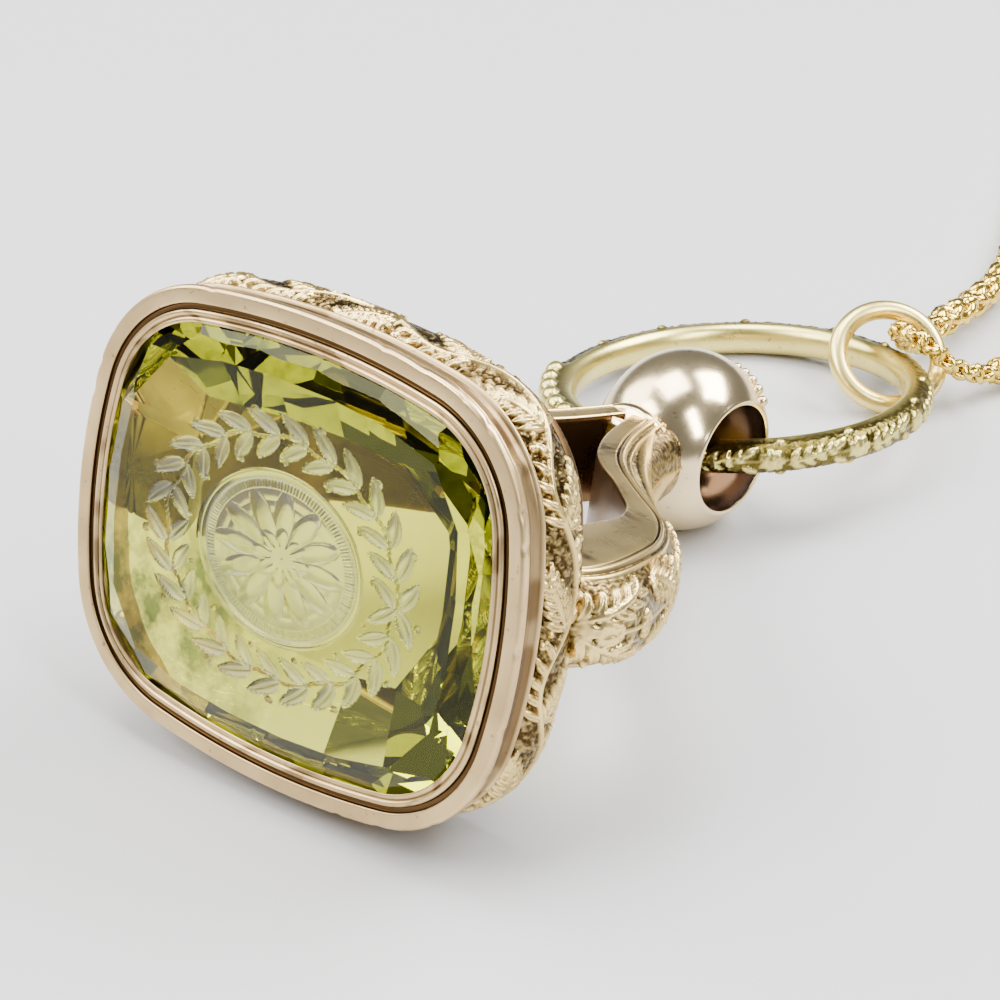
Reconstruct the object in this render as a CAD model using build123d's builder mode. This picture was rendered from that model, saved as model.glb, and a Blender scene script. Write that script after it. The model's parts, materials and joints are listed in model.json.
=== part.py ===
"""A gold fob seal with a cushion-cut citrine, its split ring, and the rope chain it is worn on.

The seal lies as it comes to rest by itself: the lower side of its ornament band and its hollow bead
touch the surface. X runs along the seal's face, Y from the face back along the chain, Z up. The
origin is the point of the surface straight below the middle of the front rim. Lengths are in
millimetres and angles in degrees.
"""

from build123d import *
import math
import os

os.makedirs("parts", exist_ok=True)

# Seal face: a cushion outline of tangent arcs
face_length = 27.0
face_width = 23.1
long_side_bow = 42.4
short_side_bow = 27.4
corner_bow = 7.1

# Bezel section, from the stone outwards and back
rim_edge = 0.15
rim_flat = 0.65
groove_width = 0.32
groove_depth = 0.22
lip_width = 0.64
lip_cover = 0.36
cove_start = 0.4
cove_depth = 0.38
cove_end_inset = 0.24
bezel_wall = 1.95
bezel_depth = 5.3

# Ornament band round the bezel
band_radius = 2.0
band_inset = 1.6
band_middle = 3.2
band_half = 1.5
band_step = 0.1
back_edge_inset = 0.6
back_edge_chamfer = 0.15
relief_height = 0.26
leaf_sink = 0.45
leaf_top_share = 0.45
band_leaves = 58
band_leaf_length = 2.3
band_leaf_width = 0.95
band_leaf_turns = (50, 32)

# Citrine
stone_gap = 0.06
crown_angle = 38.0
star_angle = 22.0
pavilion_angle = 43.0
keel_angle = 27.0
table_height = 0.66
crown_width = 1.25
girdle_height = 0.3
keel_inset = 4.6
stone_depth = 4.9
facets_round = 20

# Handle
arm_reach = 14.9
arm_half_thick = 2.4
arm_round = 2.1
leaf_shares = (0.1, 0.19, 0.28, 0.37)
leaf_shift = 0.75
leaf_turn = 40
arm_leaf_length = 3.1
arm_leaf_width = 1.05
neck_leaf_share = 0.8
neck_leaf_length = 4.6
neck_leaf_width = 2.2
neck_length = 21.7
collar_radius = 2.75
collar_length = 1.5
collar_overlap = 1.4

# Hollow bead that carries the split ring
bead_radius = 4.85
bead_half_length = 3.32
bead_end_radius = 3.18
bead_wall = 0.3
bead_seat = 26.1
strip_bead_radius = 0.3
strip_beads = 11
strip_turn = 48.0

# Split ring
ring_radius = 9.72
ring_half_tall = 0.95
ring_half_thick = 0.88
ring_corner = 0.75
ring_drop = 0.75
ring_advance = 0.34
ring_fall_heading = 41.3
ring_swing = 24.1
ring_knobs = 26
ring_knob_radius = 0.5
ring_knob_sink = 0.2
knob_free_turn = 25

# Jump ring
jump_radius = 2.85
jump_wire = 0.5
jump_lean = 39.8
jump_heading = -37.0
jump_station = -68.1
jump_offset = (-0.54, 0.11)
floor_gap = 0.05

# Rope chain and its fastening
chain_radius = 0.9
hitch_radius = 0.65
clasp_wire = 0.55
end_loop_radius = 1.25
end_loop_wire = 0.35
end_cup_wall = 0.25
end_cup_length = 2.2
end_cup_floor = 0.35
fit_gap = 0.08

# Chain route: from the clasp up the left side, through the jump ring, and back down the right side
chain_route = [
    (-1.4, 255, 1.7),
    (-8.5, 253.8, 1.2),
    (-17.5, 247, 0.95),
    (-28, 228, 0.95),
    (-35, 198, 0.95),
    (-37, 166, 0.95),
    (-32, 134, 0.95),
    (-22, 105, 0.95),
    (-9.5, 81, 0.95),
    (-0.6, 63, 0.95),
    (0.2, 57.5, 1.2),
    (0.3, 53.8, 1.6),
    (0.5, 50.76, 1.3),
    (1.0, 48.06, 4.12),
    (3.4, 47.7, 4.1),
    (4.8, 48.9, 2.1),
    (5.5, 51.5, 1.0),
    (7.0, 57.0, 0.95),
    (12, 69, 0.95),
    (22, 90, 0.95),
    (33, 117, 0.95),
    (41, 150, 0.95),
    (43, 182, 0.95),
    (38, 214, 0.95),
    (28, 240, 0.95),
    (17, 252.3, 1.1),
    (7.4, 255, 1.7),
]
hitch_start = 10
hitch_end = 16
bend_share = 0.45

# Outline of one handle arm, as shares of the arm's reach (across) and of the neck's length (along)
arm_stations = [
    {"inner_across": 0.550, "inner_along": -0.018, "crest_across": 0.966, "crest_along": -0.018},
    {"inner_across": 0.560, "inner_along": 0.134, "crest_across": 1.000, "crest_along": 0.092},
    {"inner_across": 0.591, "inner_along": 0.281, "crest_across": 0.960, "crest_along": 0.198},
    {"inner_across": 0.601, "inner_along": 0.355, "crest_across": 0.899, "crest_along": 0.304},
    {"inner_across": 0.557, "inner_along": 0.424, "crest_across": 0.819, "crest_along": 0.406},
    {"inner_across": 0.483, "inner_along": 0.475, "crest_across": 0.705, "crest_along": 0.493},
    {"inner_across": 0.376, "inner_along": 0.539, "crest_across": 0.577, "crest_along": 0.567},
    {"inner_across": 0.275, "inner_along": 0.590, "crest_across": 0.463, "crest_along": 0.641},
    {"inner_across": 0.188, "inner_along": 0.650, "crest_across": 0.362, "crest_along": 0.728},
    {"inner_across": 0.121, "inner_along": 0.724, "crest_across": 0.295, "crest_along": 0.816},
    {"inner_across": 0.067, "inner_along": 0.811, "crest_across": 0.242, "crest_along": 0.903},
    {"inner_across": 0.000, "inner_along": 0.963, "crest_across": 0.195, "crest_along": 1.009},
]

# Sizes that follow from the ones above
half_length = face_length / 2
half_width = face_width / 2
lip_inset = rim_edge + rim_flat + groove_width + lip_width
stone_edge = lip_inset + stone_gap / math.sin(math.radians(crown_angle))
girdle_inset = lip_inset - lip_cover
crown_rise = math.tan(math.radians(crown_angle))
pavilion_rise = math.tan(math.radians(pavilion_angle))
girdle_front = (stone_edge - girdle_inset) * crown_rise
girdle_back = girdle_front + girdle_height
ground_radius = band_radius - relief_height
bead_middle = bead_seat + bead_radius

# How the seal rests: on the band's lower side and on the hollow bead
band_reach = half_width - band_inset
rest_run = bead_middle - band_middle
rest_tilt = math.acos((bead_radius - band_radius) / math.hypot(band_reach, rest_run))
rest_tilt = rest_tilt - math.atan2(rest_run, band_reach)
seal_height = band_reach * math.cos(rest_tilt) + band_middle * math.sin(rest_tilt) + band_radius

# Planes of the seal: rim looks out of the face, side looks up through the handle
rim = Plane(
    origin=(0, 0, seal_height),
    x_dir=(1, 0, 0),
    z_dir=(0, -math.cos(rest_tilt), math.sin(rest_tilt)),
)
side = Plane(
    origin=(0, 0, seal_height),
    x_dir=(1, 0, 0),
    z_dir=(0, math.sin(rest_tilt), math.cos(rest_tilt)),
)
bead_centre = side.from_local_coords((0, bead_middle, 0))


# Centre of a corner arc: it lies on a circle about each of the two side arcs' centres
def corner_centre():
    long_centre = Vector(0, half_width - long_side_bow)
    short_centre = Vector(half_length - short_side_bow, 0)
    long_reach = long_side_bow - corner_bow
    short_reach = short_side_bow - corner_bow
    apart = short_centre - long_centre
    along = (apart.length**2 + long_reach**2 - short_reach**2) / (2 * apart.length)
    away = math.sqrt(long_reach**2 - along**2)
    unit = apart.normalized()
    normal = Vector(unit.Y, -unit.X)
    return long_centre + unit * along + normal * away


corner = corner_centre()
short_turn = math.degrees(math.atan2(corner.Y, corner.X - (half_length - short_side_bow)))
long_turn = math.degrees(math.atan2(corner.Y - (half_width - long_side_bow), corner.X))


# The three arcs of a quarter outline: centre, radius, starting angle and turn
quarter_arcs = [
    ((half_length - short_side_bow, 0), short_side_bow, 0, short_turn),
    ((corner.X, corner.Y), corner_bow, short_turn, long_turn - short_turn),
    ((0, half_width - long_side_bow), long_side_bow, long_turn, 90 - long_turn),
]


# A whole cushion outline as a face on the given plane, grown outwards by the given amount
def cushion_face(plane, grow):
    with BuildSketch(plane) as outline:
        with BuildLine():
            for centre, radius, start, turn in quarter_arcs:
                CenterArc(centre, radius + grow, start, turn)
            mirror(about=Plane.XZ)
            mirror(about=Plane.YZ)
        make_face()
    return outline.sketch


# Planes on even chords of the cushion outline: x along the chord, z leaning out from the face
def planes_round(count, phase, grow, back, lean):
    outline = cushion_face(rim.offset(-back), grow).wire()
    planes = []
    for index in range(count):
        chord_start = outline.position_at((index + phase - 0.5) / count % 1)
        chord_end = outline.position_at((index + phase + 0.5) / count % 1)
        middle = (chord_start + chord_end) / 2
        forward = (chord_end - chord_start).normalized()
        outward = forward.cross(rim.z_dir).normalized()
        if outward.dot(middle - rim.origin) < 0:
            outward = outward * -1
        normal = outward * math.sin(math.radians(lean)) + rim.z_dir * math.cos(math.radians(lean))
        planes.append(Plane(origin=middle, x_dir=forward, z_dir=normal))
    return planes


# Radii for the corners of a route: a share of the shorter run, over the tangent of half the turn
def bend_radii(points):
    radii = []
    for before, here, after in zip(points, points[1:], points[2:]):
        run_in = Vector(here) - Vector(before)
        run_out = Vector(after) - Vector(here)
        half_turn = math.radians(run_in.get_angle(run_out)) / 2
        radii.append(bend_share * min(run_in.length, run_out.length) / math.tan(half_turn))
    return radii


# A raised leaf, pointed at both ends, that stands on the XY plane and reaches down into its ground
def leaf_solid(length, width):
    bow = (length**2 / 4 + width**2 / 4) / width
    with BuildPart() as leaf:
        for level, share in ((-leaf_sink, 1.0), (relief_height, leaf_top_share)):
            with BuildSketch(Plane.XY.offset(level)):
                with BuildLine():
                    RadiusArc((-length / 2 * share, 0), (length / 2 * share, 0), bow * share)
                    RadiusArc((length / 2 * share, 0), (-length / 2 * share, 0), bow * share)
                make_face()
        loft(ruled=True)
    return leaf.part


# Seal mount: bezel, ornament band, handle, collar and hollow bead, soldered into one piece
wall_inset = girdle_inset - stone_gap
ground_edge = -band_inset + math.sqrt(ground_radius**2 - band_half**2)
band_front = band_middle - band_half
band_back = band_middle + band_half
seat_start = girdle_back + stone_gap


# The bezel's section: x outwards from the rim's edge, y back from the rim
def bezel_section(plane):
    with BuildSketch(plane) as section:
        with BuildLine():
            Polyline(
                (-rim_edge, 0),
                (-rim_edge - rim_flat, 0),
                (-rim_edge - rim_flat, groove_depth),
                (-lip_inset + lip_width, groove_depth),
                (-lip_inset, 0),
                (-wall_inset, (lip_inset - wall_inset) * crown_rise),
                (-wall_inset, seat_start),
                (-bezel_wall, seat_start + (bezel_wall - wall_inset) * pavilion_rise),
                (-bezel_wall, bezel_depth),
                (-back_edge_inset - back_edge_chamfer, bezel_depth),
                (-back_edge_inset, bezel_depth - back_edge_chamfer),
                (-back_edge_inset, band_back + band_step),
                (ground_edge, band_back),
            )
            ThreePointArc(
                (ground_edge, band_back),
                (-band_inset + ground_radius, band_middle),
                (ground_edge, band_front),
            )
            Polyline((ground_edge, band_front), (-cove_end_inset, band_front - band_step))
            ThreePointArc(
                (-cove_end_inset, band_front - band_step),
                (-cove_depth, (cove_start + band_front) / 2),
                (0, cove_start),
            )
            Line((0, cove_start), (0, rim_edge))
            CenterArc((-rim_edge, rim_edge), rim_edge, 0, -90)
        make_face()
    return section.sketch


# Leaves of the relief, and where they stand on the band
band_leaf = leaf_solid(band_leaf_length, band_leaf_width)
arm_leaf = leaf_solid(arm_leaf_length, arm_leaf_width)
neck_leaf = leaf_solid(neck_leaf_length, neck_leaf_width)
band_places = []
band_stands = planes_round(band_leaves, 0.25, ground_radius - band_inset, band_middle, 90)
for index, stand in enumerate(band_stands):
    turn = band_leaf_turns[index % len(band_leaf_turns)]
    band_places.append(stand.rotated((0, 0, turn)).location)

with BuildPart() as bezel:
    for centre, radius, start, turn in quarter_arcs:
        heading = math.radians(start)
        outward = rim.x_dir * math.cos(heading) + rim.y_dir * math.sin(heading)
        pivot = rim.from_local_coords((centre[0], centre[1], 0))
        section_plane = Plane(
            origin=pivot + outward * radius,
            x_dir=outward,
            z_dir=rim.z_dir.cross(outward),
        )
        revolve(bezel_section(section_plane), axis=Axis(pivot, rim.z_dir), revolution_arc=turn)
    mirror(about=Plane.YZ)
    mirror(about=side)

inner_points = []
crest_points = []
for station in arm_stations:
    inner_points.append(
        (station["inner_across"] * arm_reach, bezel_depth + station["inner_along"] * neck_length)
    )
    crest_points.append(
        (station["crest_across"] * arm_reach, bezel_depth + station["crest_along"] * neck_length)
    )
with BuildLine(side, mode=Mode.PRIVATE) as crest:
    Spline(*crest_points)
crest_line = crest.line.edge()


# A leaf's place on an arm's crest: its share along the crest, shift across it and turn
def crest_place(share, shift, turn):
    forward = crest_line.tangent_at(share)
    frame = Plane(
        origin=crest_line.position_at(share),
        x_dir=forward,
        z_dir=forward.cross(side.z_dir),
    )
    sag = arm_round - math.sqrt(arm_round**2 - shift**2)
    roll = math.degrees(math.asin(shift / arm_round))
    return frame.location * Location((0, shift, -sag), (-roll, 0, turn))


arm_places = []
for share in leaf_shares:
    for way in (-1, 1):
        arm_places.append(crest_place(share, way * leaf_shift, way * leaf_turn))
bead_plane = Plane(origin=bead_centre, x_dir=side.x_dir, z_dir=side.z_dir)
bead_axis = Axis(bead_centre, side.x_dir)
strip_points = []
for index in range(strip_beads):
    across = bead_half_length * (2 * (index + 0.5) / strip_beads - 1)
    bulge = (bead_radius - bead_end_radius) * (1 - (across / bead_half_length) ** 2)
    out = side.y_dir * math.cos(math.radians(strip_turn)) + side.z_dir * math.sin(math.radians(strip_turn))
    strip_points.append(bead_centre + side.x_dir * across + out * (bead_end_radius + bulge))

# Collar between the neck and the bead, sunk into both
collar_back = -bead_seat - collar_overlap

with BuildPart() as handle:
    with BuildSketch(side):
        with BuildLine():
            Spline(*inner_points)
            Spline(*crest_points)
            Line(inner_points[0], crest_points[0])
            Line(crest_points[-1], (0, crest_points[-1][1]))
            mirror(about=Plane.YZ)
        make_face()
    extrude(amount=arm_half_thick, both=True)
    outer_edges = handle.edges().filter_by(GeomType.BSPLINE).group_by(SortBy.LENGTH)[-1]
    fillet(outer_edges, arm_round)

with BuildPart() as arm_relief:
    with Locations(*arm_places):
        add(arm_leaf)
    with Locations(crest_place(neck_leaf_share, 0, 0)):
        add(neck_leaf)
    mirror(about=Plane.YZ)

with BuildPart() as seal_mount:
    add(bezel.part)
    with Locations(*band_places):
        add(band_leaf)
    add(handle.part)
    add(arm_relief.part)
    with BuildSketch(rim.offset(collar_back)):
        Circle(collar_radius)
    extrude(amount=collar_length)
    with BuildSketch(bead_plane):
        with BuildLine():
            Polyline((-bead_half_length, bead_end_radius), (-bead_half_length, 0))
            Line((-bead_half_length, 0), (bead_half_length, 0))
            Line((bead_half_length, 0), (bead_half_length, bead_end_radius))
            ThreePointArc(
                (-bead_half_length, bead_end_radius),
                (0, bead_radius),
                (bead_half_length, bead_end_radius),
            )
        make_face()
    revolve(axis=bead_axis)
    with Locations(*strip_points):
        Sphere(strip_bead_radius)
    with BuildSketch(bead_plane):
        with BuildLine():
            Polyline(
                (-bead_half_length, bead_end_radius - bead_wall),
                (-2 * bead_half_length, bead_end_radius - bead_wall),
                (-2 * bead_half_length, 0),
                (2 * bead_half_length, 0),
                (2 * bead_half_length, bead_end_radius - bead_wall),
                (bead_half_length, bead_end_radius - bead_wall),
            )
            ThreePointArc(
                (-bead_half_length, bead_end_radius - bead_wall),
                (0, bead_radius - bead_wall),
                (bead_half_length, bead_end_radius - bead_wall),
            )
        make_face()
    revolve(axis=bead_axis, mode=Mode.SUBTRACT)
seal_mount.part.label = "seal_mount"

# Citrine: a cushion blank cut by one plane for each facet
facet_tiers = [
    (facets_round, 0.0, -girdle_inset, girdle_front, crown_angle),
    (facets_round, 0.5, -stone_edge - crown_width, -table_height, star_angle),
    (facets_round, 0.0, -girdle_inset, girdle_back, 180 - pavilion_angle),
    (
        facets_round // 2,
        0.25,
        -girdle_inset - keel_inset,
        girdle_back + keel_inset * pavilion_rise,
        180 - keel_angle,
    ),
]
with BuildPart() as citrine:
    extrude(
        cushion_face(rim.offset(table_height), -girdle_inset),
        amount=table_height + stone_depth,
        dir=rim.z_dir * -1,
    )
    for count, phase, grow, back, lean in facet_tiers:
        for facet in planes_round(count, phase, grow, back, lean):
            split(bisect_by=facet, keep=Keep.BOTTOM)
citrine.part.label = "citrine"


# Split ring: it hangs in the hollow bead and its far side lies on the surface
ring_pass = bead_centre - Vector(0, ring_advance, ring_drop)
ring_low = ring_half_tall + floor_gap
ring_slope = math.asin(
    (ring_pass.Z - ring_low) / (ring_radius * (1 + math.cos(math.radians(ring_swing))))
)
fall_x = -math.sin(math.radians(ring_fall_heading))
fall_y = math.cos(math.radians(ring_fall_heading))
ring_fall = Vector(
    fall_x * math.cos(ring_slope), fall_y * math.cos(ring_slope), -math.sin(ring_slope)
)
ring_up = ring_fall.cross(Vector(fall_y, -fall_x, 0)) * -1
pass_plane = Plane(origin=ring_pass, x_dir=ring_fall, z_dir=ring_up)
swing = math.radians(ring_swing)
ring_centre = pass_plane.from_local_coords(
    (ring_radius * math.cos(swing), -ring_radius * math.sin(swing), 0)
)
ring_plane = Plane(origin=ring_centre, x_dir=ring_fall, z_dir=ring_up)


# A point of the ring's plane, by angle from its lowest point and distance from its centre
def ring_point(angle, reach):
    turn = math.radians(angle)
    return ring_plane.from_local_coords((reach * math.cos(turn), reach * math.sin(turn), 0))


# Knobs stand on the ring's outer side, except inside the bead and where the jump ring hangs
pass_station = 180 - ring_swing
knob_points = []
for index in range(ring_knobs):
    angle = 360 * index / ring_knobs
    to_jump = abs((angle - jump_station + 180) % 360 - 180)
    to_bead = abs((angle - pass_station + 180) % 360 - 180)
    if min(to_jump, to_bead) > knob_free_turn:
        knob_points.append(ring_point(angle, ring_radius + ring_half_thick - ring_knob_sink))

with BuildPart() as split_ring:
    with BuildSketch(
        Plane(origin=ring_centre, x_dir=ring_fall, z_dir=ring_fall.cross(ring_up))
    ):
        with Locations((ring_radius, 0)):
            RectangleRounded(2 * ring_half_thick, 2 * ring_half_tall, ring_corner)
    revolve(axis=Axis(ring_centre, ring_up))
    with Locations(*knob_points):
        Sphere(ring_knob_radius)
split_ring.part.label = "split_ring"

# Jump ring: it hangs on the split ring, leans over and stands on the surface
hang_point = ring_point(jump_station, ring_radius)
lean = math.radians(jump_lean)
heading = math.radians(jump_heading)
jump_plane = Plane(
    origin=(
        hang_point.X + jump_offset[0],
        hang_point.Y + jump_offset[1],
        floor_gap + jump_wire + jump_radius * math.sin(lean),
    ),
    z_dir=(
        math.sin(lean) * math.cos(heading),
        math.sin(lean) * math.sin(heading),
        math.cos(lean),
    ),
)
with BuildPart(jump_plane) as jump_ring:
    Torus(jump_radius, jump_wire)
jump_ring.part.label = "jump_ring"

# Rope chain: a tube that is slimmer where its links give way inside the jump ring
start_split = (Vector(chain_route[hitch_start - 1]) + Vector(chain_route[hitch_start])) / 2
end_split = (Vector(chain_route[hitch_end]) + Vector(chain_route[hitch_end + 1])) / 2
stretches = [
    (chain_route[:hitch_start] + [start_split], chain_radius),
    ([start_split] + chain_route[hitch_start : hitch_end + 1] + [end_split], hitch_radius),
    ([end_split] + chain_route[hitch_end + 1 :], chain_radius),
]
chain_length = 0
with BuildPart() as chain:
    for points, radius in stretches:
        radii = bend_radii(points)
        print("bend radii", [round(bend, 1) for bend in radii])
        with BuildLine() as path:
            FilletPolyline(*points, radius=radii)
        line = path.wires()[0]
        chain_length += line.length
        with BuildSketch(Plane(origin=line.position_at(0), z_dir=line.tangent_at(0))):
            Circle(radius)
        sweep(path=line)
print("chain length", round(chain_length, 1), "volume", round(chain.part.volume, 1))
chain.part.label = "chain"

# Cup and loop on each end of the chain
loop_reach = fit_gap + end_cup_floor + end_loop_radius
cup_radius = chain_radius + fit_gap + end_cup_wall
loop_centres = []
for name, last, before in (
    ("end_loop_left", Vector(chain_route[0]), Vector(chain_route[1])),
    ("end_loop_right", Vector(chain_route[-1]), Vector(chain_route[-2])),
):
    forward = (last - before).normalized()
    loop_centre = last + forward * loop_reach
    loop_centres.append(loop_centre)
    with BuildPart() as end_loop:
        with BuildSketch(Plane(origin=last + forward * (fit_gap + end_cup_floor), z_dir=forward)):
            Circle(cup_radius)
        extrude(amount=-end_cup_length)
        with BuildSketch(Plane(origin=last + forward * fit_gap, z_dir=forward)):
            Circle(chain_radius + fit_gap)
        extrude(amount=-end_cup_length, mode=Mode.SUBTRACT)
        with BuildSketch(Plane(origin=loop_centre, x_dir=forward, z_dir=(0, 0, 1))):
            with Locations((end_loop_radius, 0)):
                Circle(end_loop_wire)
        revolve(axis=Axis(loop_centre, forward.cross(Vector(0, 0, 1))))
    end_loop.part.label = name
    export_step(end_loop.part, f"parts/{name}.step")

# Clasp: a plain ring that lies in both end loops
clasp_span = loop_centres[1] - loop_centres[0]
clasp_centre = (loop_centres[0] + loop_centres[1]) / 2
clasp_sink = end_loop_radius - end_loop_wire - clasp_wire - fit_gap
with BuildPart(
    Plane(origin=clasp_centre - Vector(0, 0, clasp_sink), z_dir=(0, 0, 1))
) as clasp:
    Torus(clasp_span.length / 2, clasp_wire)
clasp.part.label = "clasp"

for piece in (seal_mount, citrine, split_ring, jump_ring, chain, clasp):
    export_step(piece.part, f"parts/{piece.part.label}.step")
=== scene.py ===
"""Dresses the citrine fob seal necklace: carved gold mount, engraved stone, rings and rope chain.

Sizes are millimetres. A shape of the mount is worked out in the seal's own frame (across, back, up),
the rings and the chain in the part's frame, and every mesh is turned into metres when it is made.
"""

import json
import logging
import math
from dataclasses import dataclass, field
from enum import Enum

import bmesh
import bpy
import numpy as np
from mathutils import Matrix


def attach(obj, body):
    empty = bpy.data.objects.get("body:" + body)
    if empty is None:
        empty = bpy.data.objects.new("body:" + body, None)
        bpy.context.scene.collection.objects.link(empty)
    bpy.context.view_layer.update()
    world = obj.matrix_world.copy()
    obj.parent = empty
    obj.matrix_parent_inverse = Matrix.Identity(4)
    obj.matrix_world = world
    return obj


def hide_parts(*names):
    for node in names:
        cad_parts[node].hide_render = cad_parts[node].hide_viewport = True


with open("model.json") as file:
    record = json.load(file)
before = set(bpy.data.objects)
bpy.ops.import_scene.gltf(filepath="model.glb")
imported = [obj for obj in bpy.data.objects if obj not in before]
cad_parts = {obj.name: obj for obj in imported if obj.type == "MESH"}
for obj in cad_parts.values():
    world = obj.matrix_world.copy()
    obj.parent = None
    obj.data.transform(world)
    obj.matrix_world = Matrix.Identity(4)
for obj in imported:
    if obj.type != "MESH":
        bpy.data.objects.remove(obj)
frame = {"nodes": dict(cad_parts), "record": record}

LOG = logging.getLogger("fob_necklace")
METRE = 0.001
FULL_TURN = 2 * math.pi
MERGE_DISTANCE = 1e-8
BUMP_HEIGHT = 0.00003
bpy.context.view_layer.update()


class Slot(Enum):
    """Material slots of the record."""

    ROSE_GOLD = "rose_gold"
    GREEN_GOLD = "green_gold"
    YELLOW_GOLD = "yellow_gold"
    CHAIN_GOLD = "chain_gold"
    CITRINE = "citrine"


class Shading(Enum):
    """How the faces of a mesh are shaded."""

    SMOOTH = "smooth"
    FLAT = "flat"


@dataclass
class Shell:
    """One closed surface: its points, its faces and two masks that the finishes read.

    relief is 1 on raised metal and 0 in the recesses, which the finishes paint dark as shade. The other
    mask is 1 on stains, on metal painted dark as shade, and on the stone's frosted cuts.
    """

    points: np.ndarray
    faces: np.ndarray
    relief: np.ndarray
    stain_shade_frost: np.ndarray

    def outward(self) -> "Shell":
        """Turns the faces round if the signed volume, a sum of corner triple products, is negative.

        Returns:
            The shell itself.
        """
        corners = self.points[self.faces]
        volume = 0.0
        for second in range(1, self.faces.shape[1] - 1):
            cross = np.cross(corners[:, second], corners[:, second + 1])
            volume += float(np.einsum("ij,ij->", corners[:, 0], cross))
        if volume < 0:
            self.faces = self.faces[:, ::-1]
        return self


def grid_faces(rows: int, columns: int, close_rows: bool, close_columns: bool) -> np.ndarray:
    """Quads of a grid whose point (row, column) is number row * columns + column.

    Args:
        rows: Points along the first parameter.
        columns: Points along the second parameter.
        close_rows: Whether the last row joins the first.
        close_columns: Whether the last column joins the first.

    Returns:
        An array of four point numbers for each quad.
    """
    first = np.arange(rows if close_rows else rows - 1)
    second = np.arange(columns if close_columns else columns - 1)
    row, column = np.meshgrid(first, second, indexing="ij")
    next_row, next_column = (row + 1) % rows, (column + 1) % columns
    corners = [
        row * columns + column,
        next_row * columns + column,
        next_row * columns + next_column,
        row * columns + next_column,
    ]
    return np.stack(corners, axis=-1).reshape(-1, 4)


def grid_shell(
    points: np.ndarray,
    close_rows: bool,
    relief: np.ndarray | None = None,
    stain_shade_frost: np.ndarray | None = None,
) -> Shell:
    """Makes a closed shell from a grid whose columns are closed loops.

    Where the rows don't close, a flat cap closes each end: a narrow ring just inside the end row, and
    a pole in its middle.

    Args:
        points: Grid of points, rows by columns by 3.
        close_rows: Whether the last row joins the first.
        relief: Mask of raised metal on the same grid, 1 everywhere if left out.
        stain_shade_frost: Mask of stains and of painted shade on the same grid, 0 everywhere if left out.

    Returns:
        The shell, with its faces outwards.
    """
    relief = np.ones(points.shape[:2]) if relief is None else relief
    stain_shade_frost = np.zeros(points.shape[:2]) if stain_shade_frost is None else stain_shade_frost
    inset = 0.02
    if not close_rows:
        columns = points.shape[1]
        first = np.repeat(points[:1].mean(axis=1, keepdims=True), columns, axis=1)
        last = np.repeat(points[-1:].mean(axis=1, keepdims=True), columns, axis=1)
        first_edge = inset * first + (1 - inset) * points[:1]
        last_edge = inset * last + (1 - inset) * points[-1:]
        points = np.concatenate([first, first_edge, points, last_edge, last])
        relief = np.concatenate([relief[:1], relief[:1], relief, relief[-1:], relief[-1:]])
        stain_shade_frost = np.concatenate([stain_shade_frost[:1], stain_shade_frost[:1], stain_shade_frost, stain_shade_frost[-1:], stain_shade_frost[-1:]])
    rows, columns = points.shape[:2]
    faces = grid_faces(rows, columns, close_rows, close_columns=True)
    return Shell(points.reshape(-1, 3), faces, relief.ravel(), stain_shade_frost.ravel()).outward()


def make_piece(name: str, shells: list[Shell], shading: Shading = Shading.SMOOTH) -> bpy.types.Object:
    """Joins shells into one mesh object in metres, with equal points merged.

    Args:
        name: Name of the piece.
        shells: Shells in the part's frame, in millimetres.
        shading: Smooth or flat faces.

    Returns:
        The linked object, at the origin.
    """
    points = np.concatenate([shell.points for shell in shells]) * METRE
    starts = np.cumsum([0] + [len(shell.points) for shell in shells[:-1]])
    loops = [(shell.faces + start).ravel() for shell, start in zip(shells, starts)]
    sides = np.concatenate([np.full(len(shell.faces), shell.faces.shape[1]) for shell in shells])
    mesh = bpy.data.meshes.new(name)
    mesh.vertices.add(len(points))
    mesh.vertices.foreach_set("co", points.ravel().astype(np.float32))
    mesh.loops.add(int(sides.sum()))
    mesh.loops.foreach_set("vertex_index", np.concatenate(loops).astype(np.int32))
    mesh.polygons.add(len(sides))
    mesh.polygons.foreach_set("loop_start", np.cumsum(np.r_[0, sides[:-1]]).astype(np.int32))
    for mask in ("relief", "stain_shade_frost"):
        values = np.concatenate([getattr(shell, mask) for shell in shells]).astype(np.float32)
        mesh.attributes.new(mask, "FLOAT", "POINT").data.foreach_set("value", values)
    mesh.update(calc_edges=True)
    build = bmesh.new()
    build.from_mesh(mesh)
    bmesh.ops.remove_doubles(build, verts=build.verts, dist=MERGE_DISTANCE)
    build.to_mesh(mesh)
    build.free()
    mesh.validate()
    smooth = np.full(len(mesh.polygons), shading is Shading.SMOOTH)
    mesh.polygons.foreach_set("use_smooth", smooth)
    piece = bpy.data.objects.new(name, mesh)
    bpy.context.scene.collection.objects.link(piece)
    return piece


def smooth_step(low: float, high: float, value: np.ndarray) -> np.ndarray:
    """Cubic ramp from 0 at low to 1 at high: 3x^2 - 2x^3 of the clipped share."""
    share = np.clip((value - low) / (high - low), 0.0, 1.0)
    return share * share * (3 - 2 * share)


def value_noise(across: np.ndarray, along: np.ndarray, cell: float, seed: int) -> np.ndarray:
    """Random heights on a square lattice, joined by smooth steps between its four corners.

    A shift added to both coordinates picks another part of the lattice.

    Args:
        across: First coordinate.
        along: Second coordinate.
        cell: Lattice spacing, in the same unit.
        seed: Seed of the lattice's random heights.

    Returns:
        Values between -1 and 1.
    """
    size = 256
    table = np.random.default_rng(seed).uniform(-1, 1, (size, size))
    column, row = np.floor(across / cell), np.floor(along / cell)
    x = smooth_step(0, 1, across / cell - column)
    y = smooth_step(0, 1, along / cell - row)
    left, low = column.astype(int) % size, row.astype(int) % size
    right, high = (left + 1) % size, (low + 1) % size
    bottom = table[low, left] * (1 - x) + table[low, right] * x
    top = table[high, left] * (1 - x) + table[high, right] * x
    return bottom * (1 - y) + top * y


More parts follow.
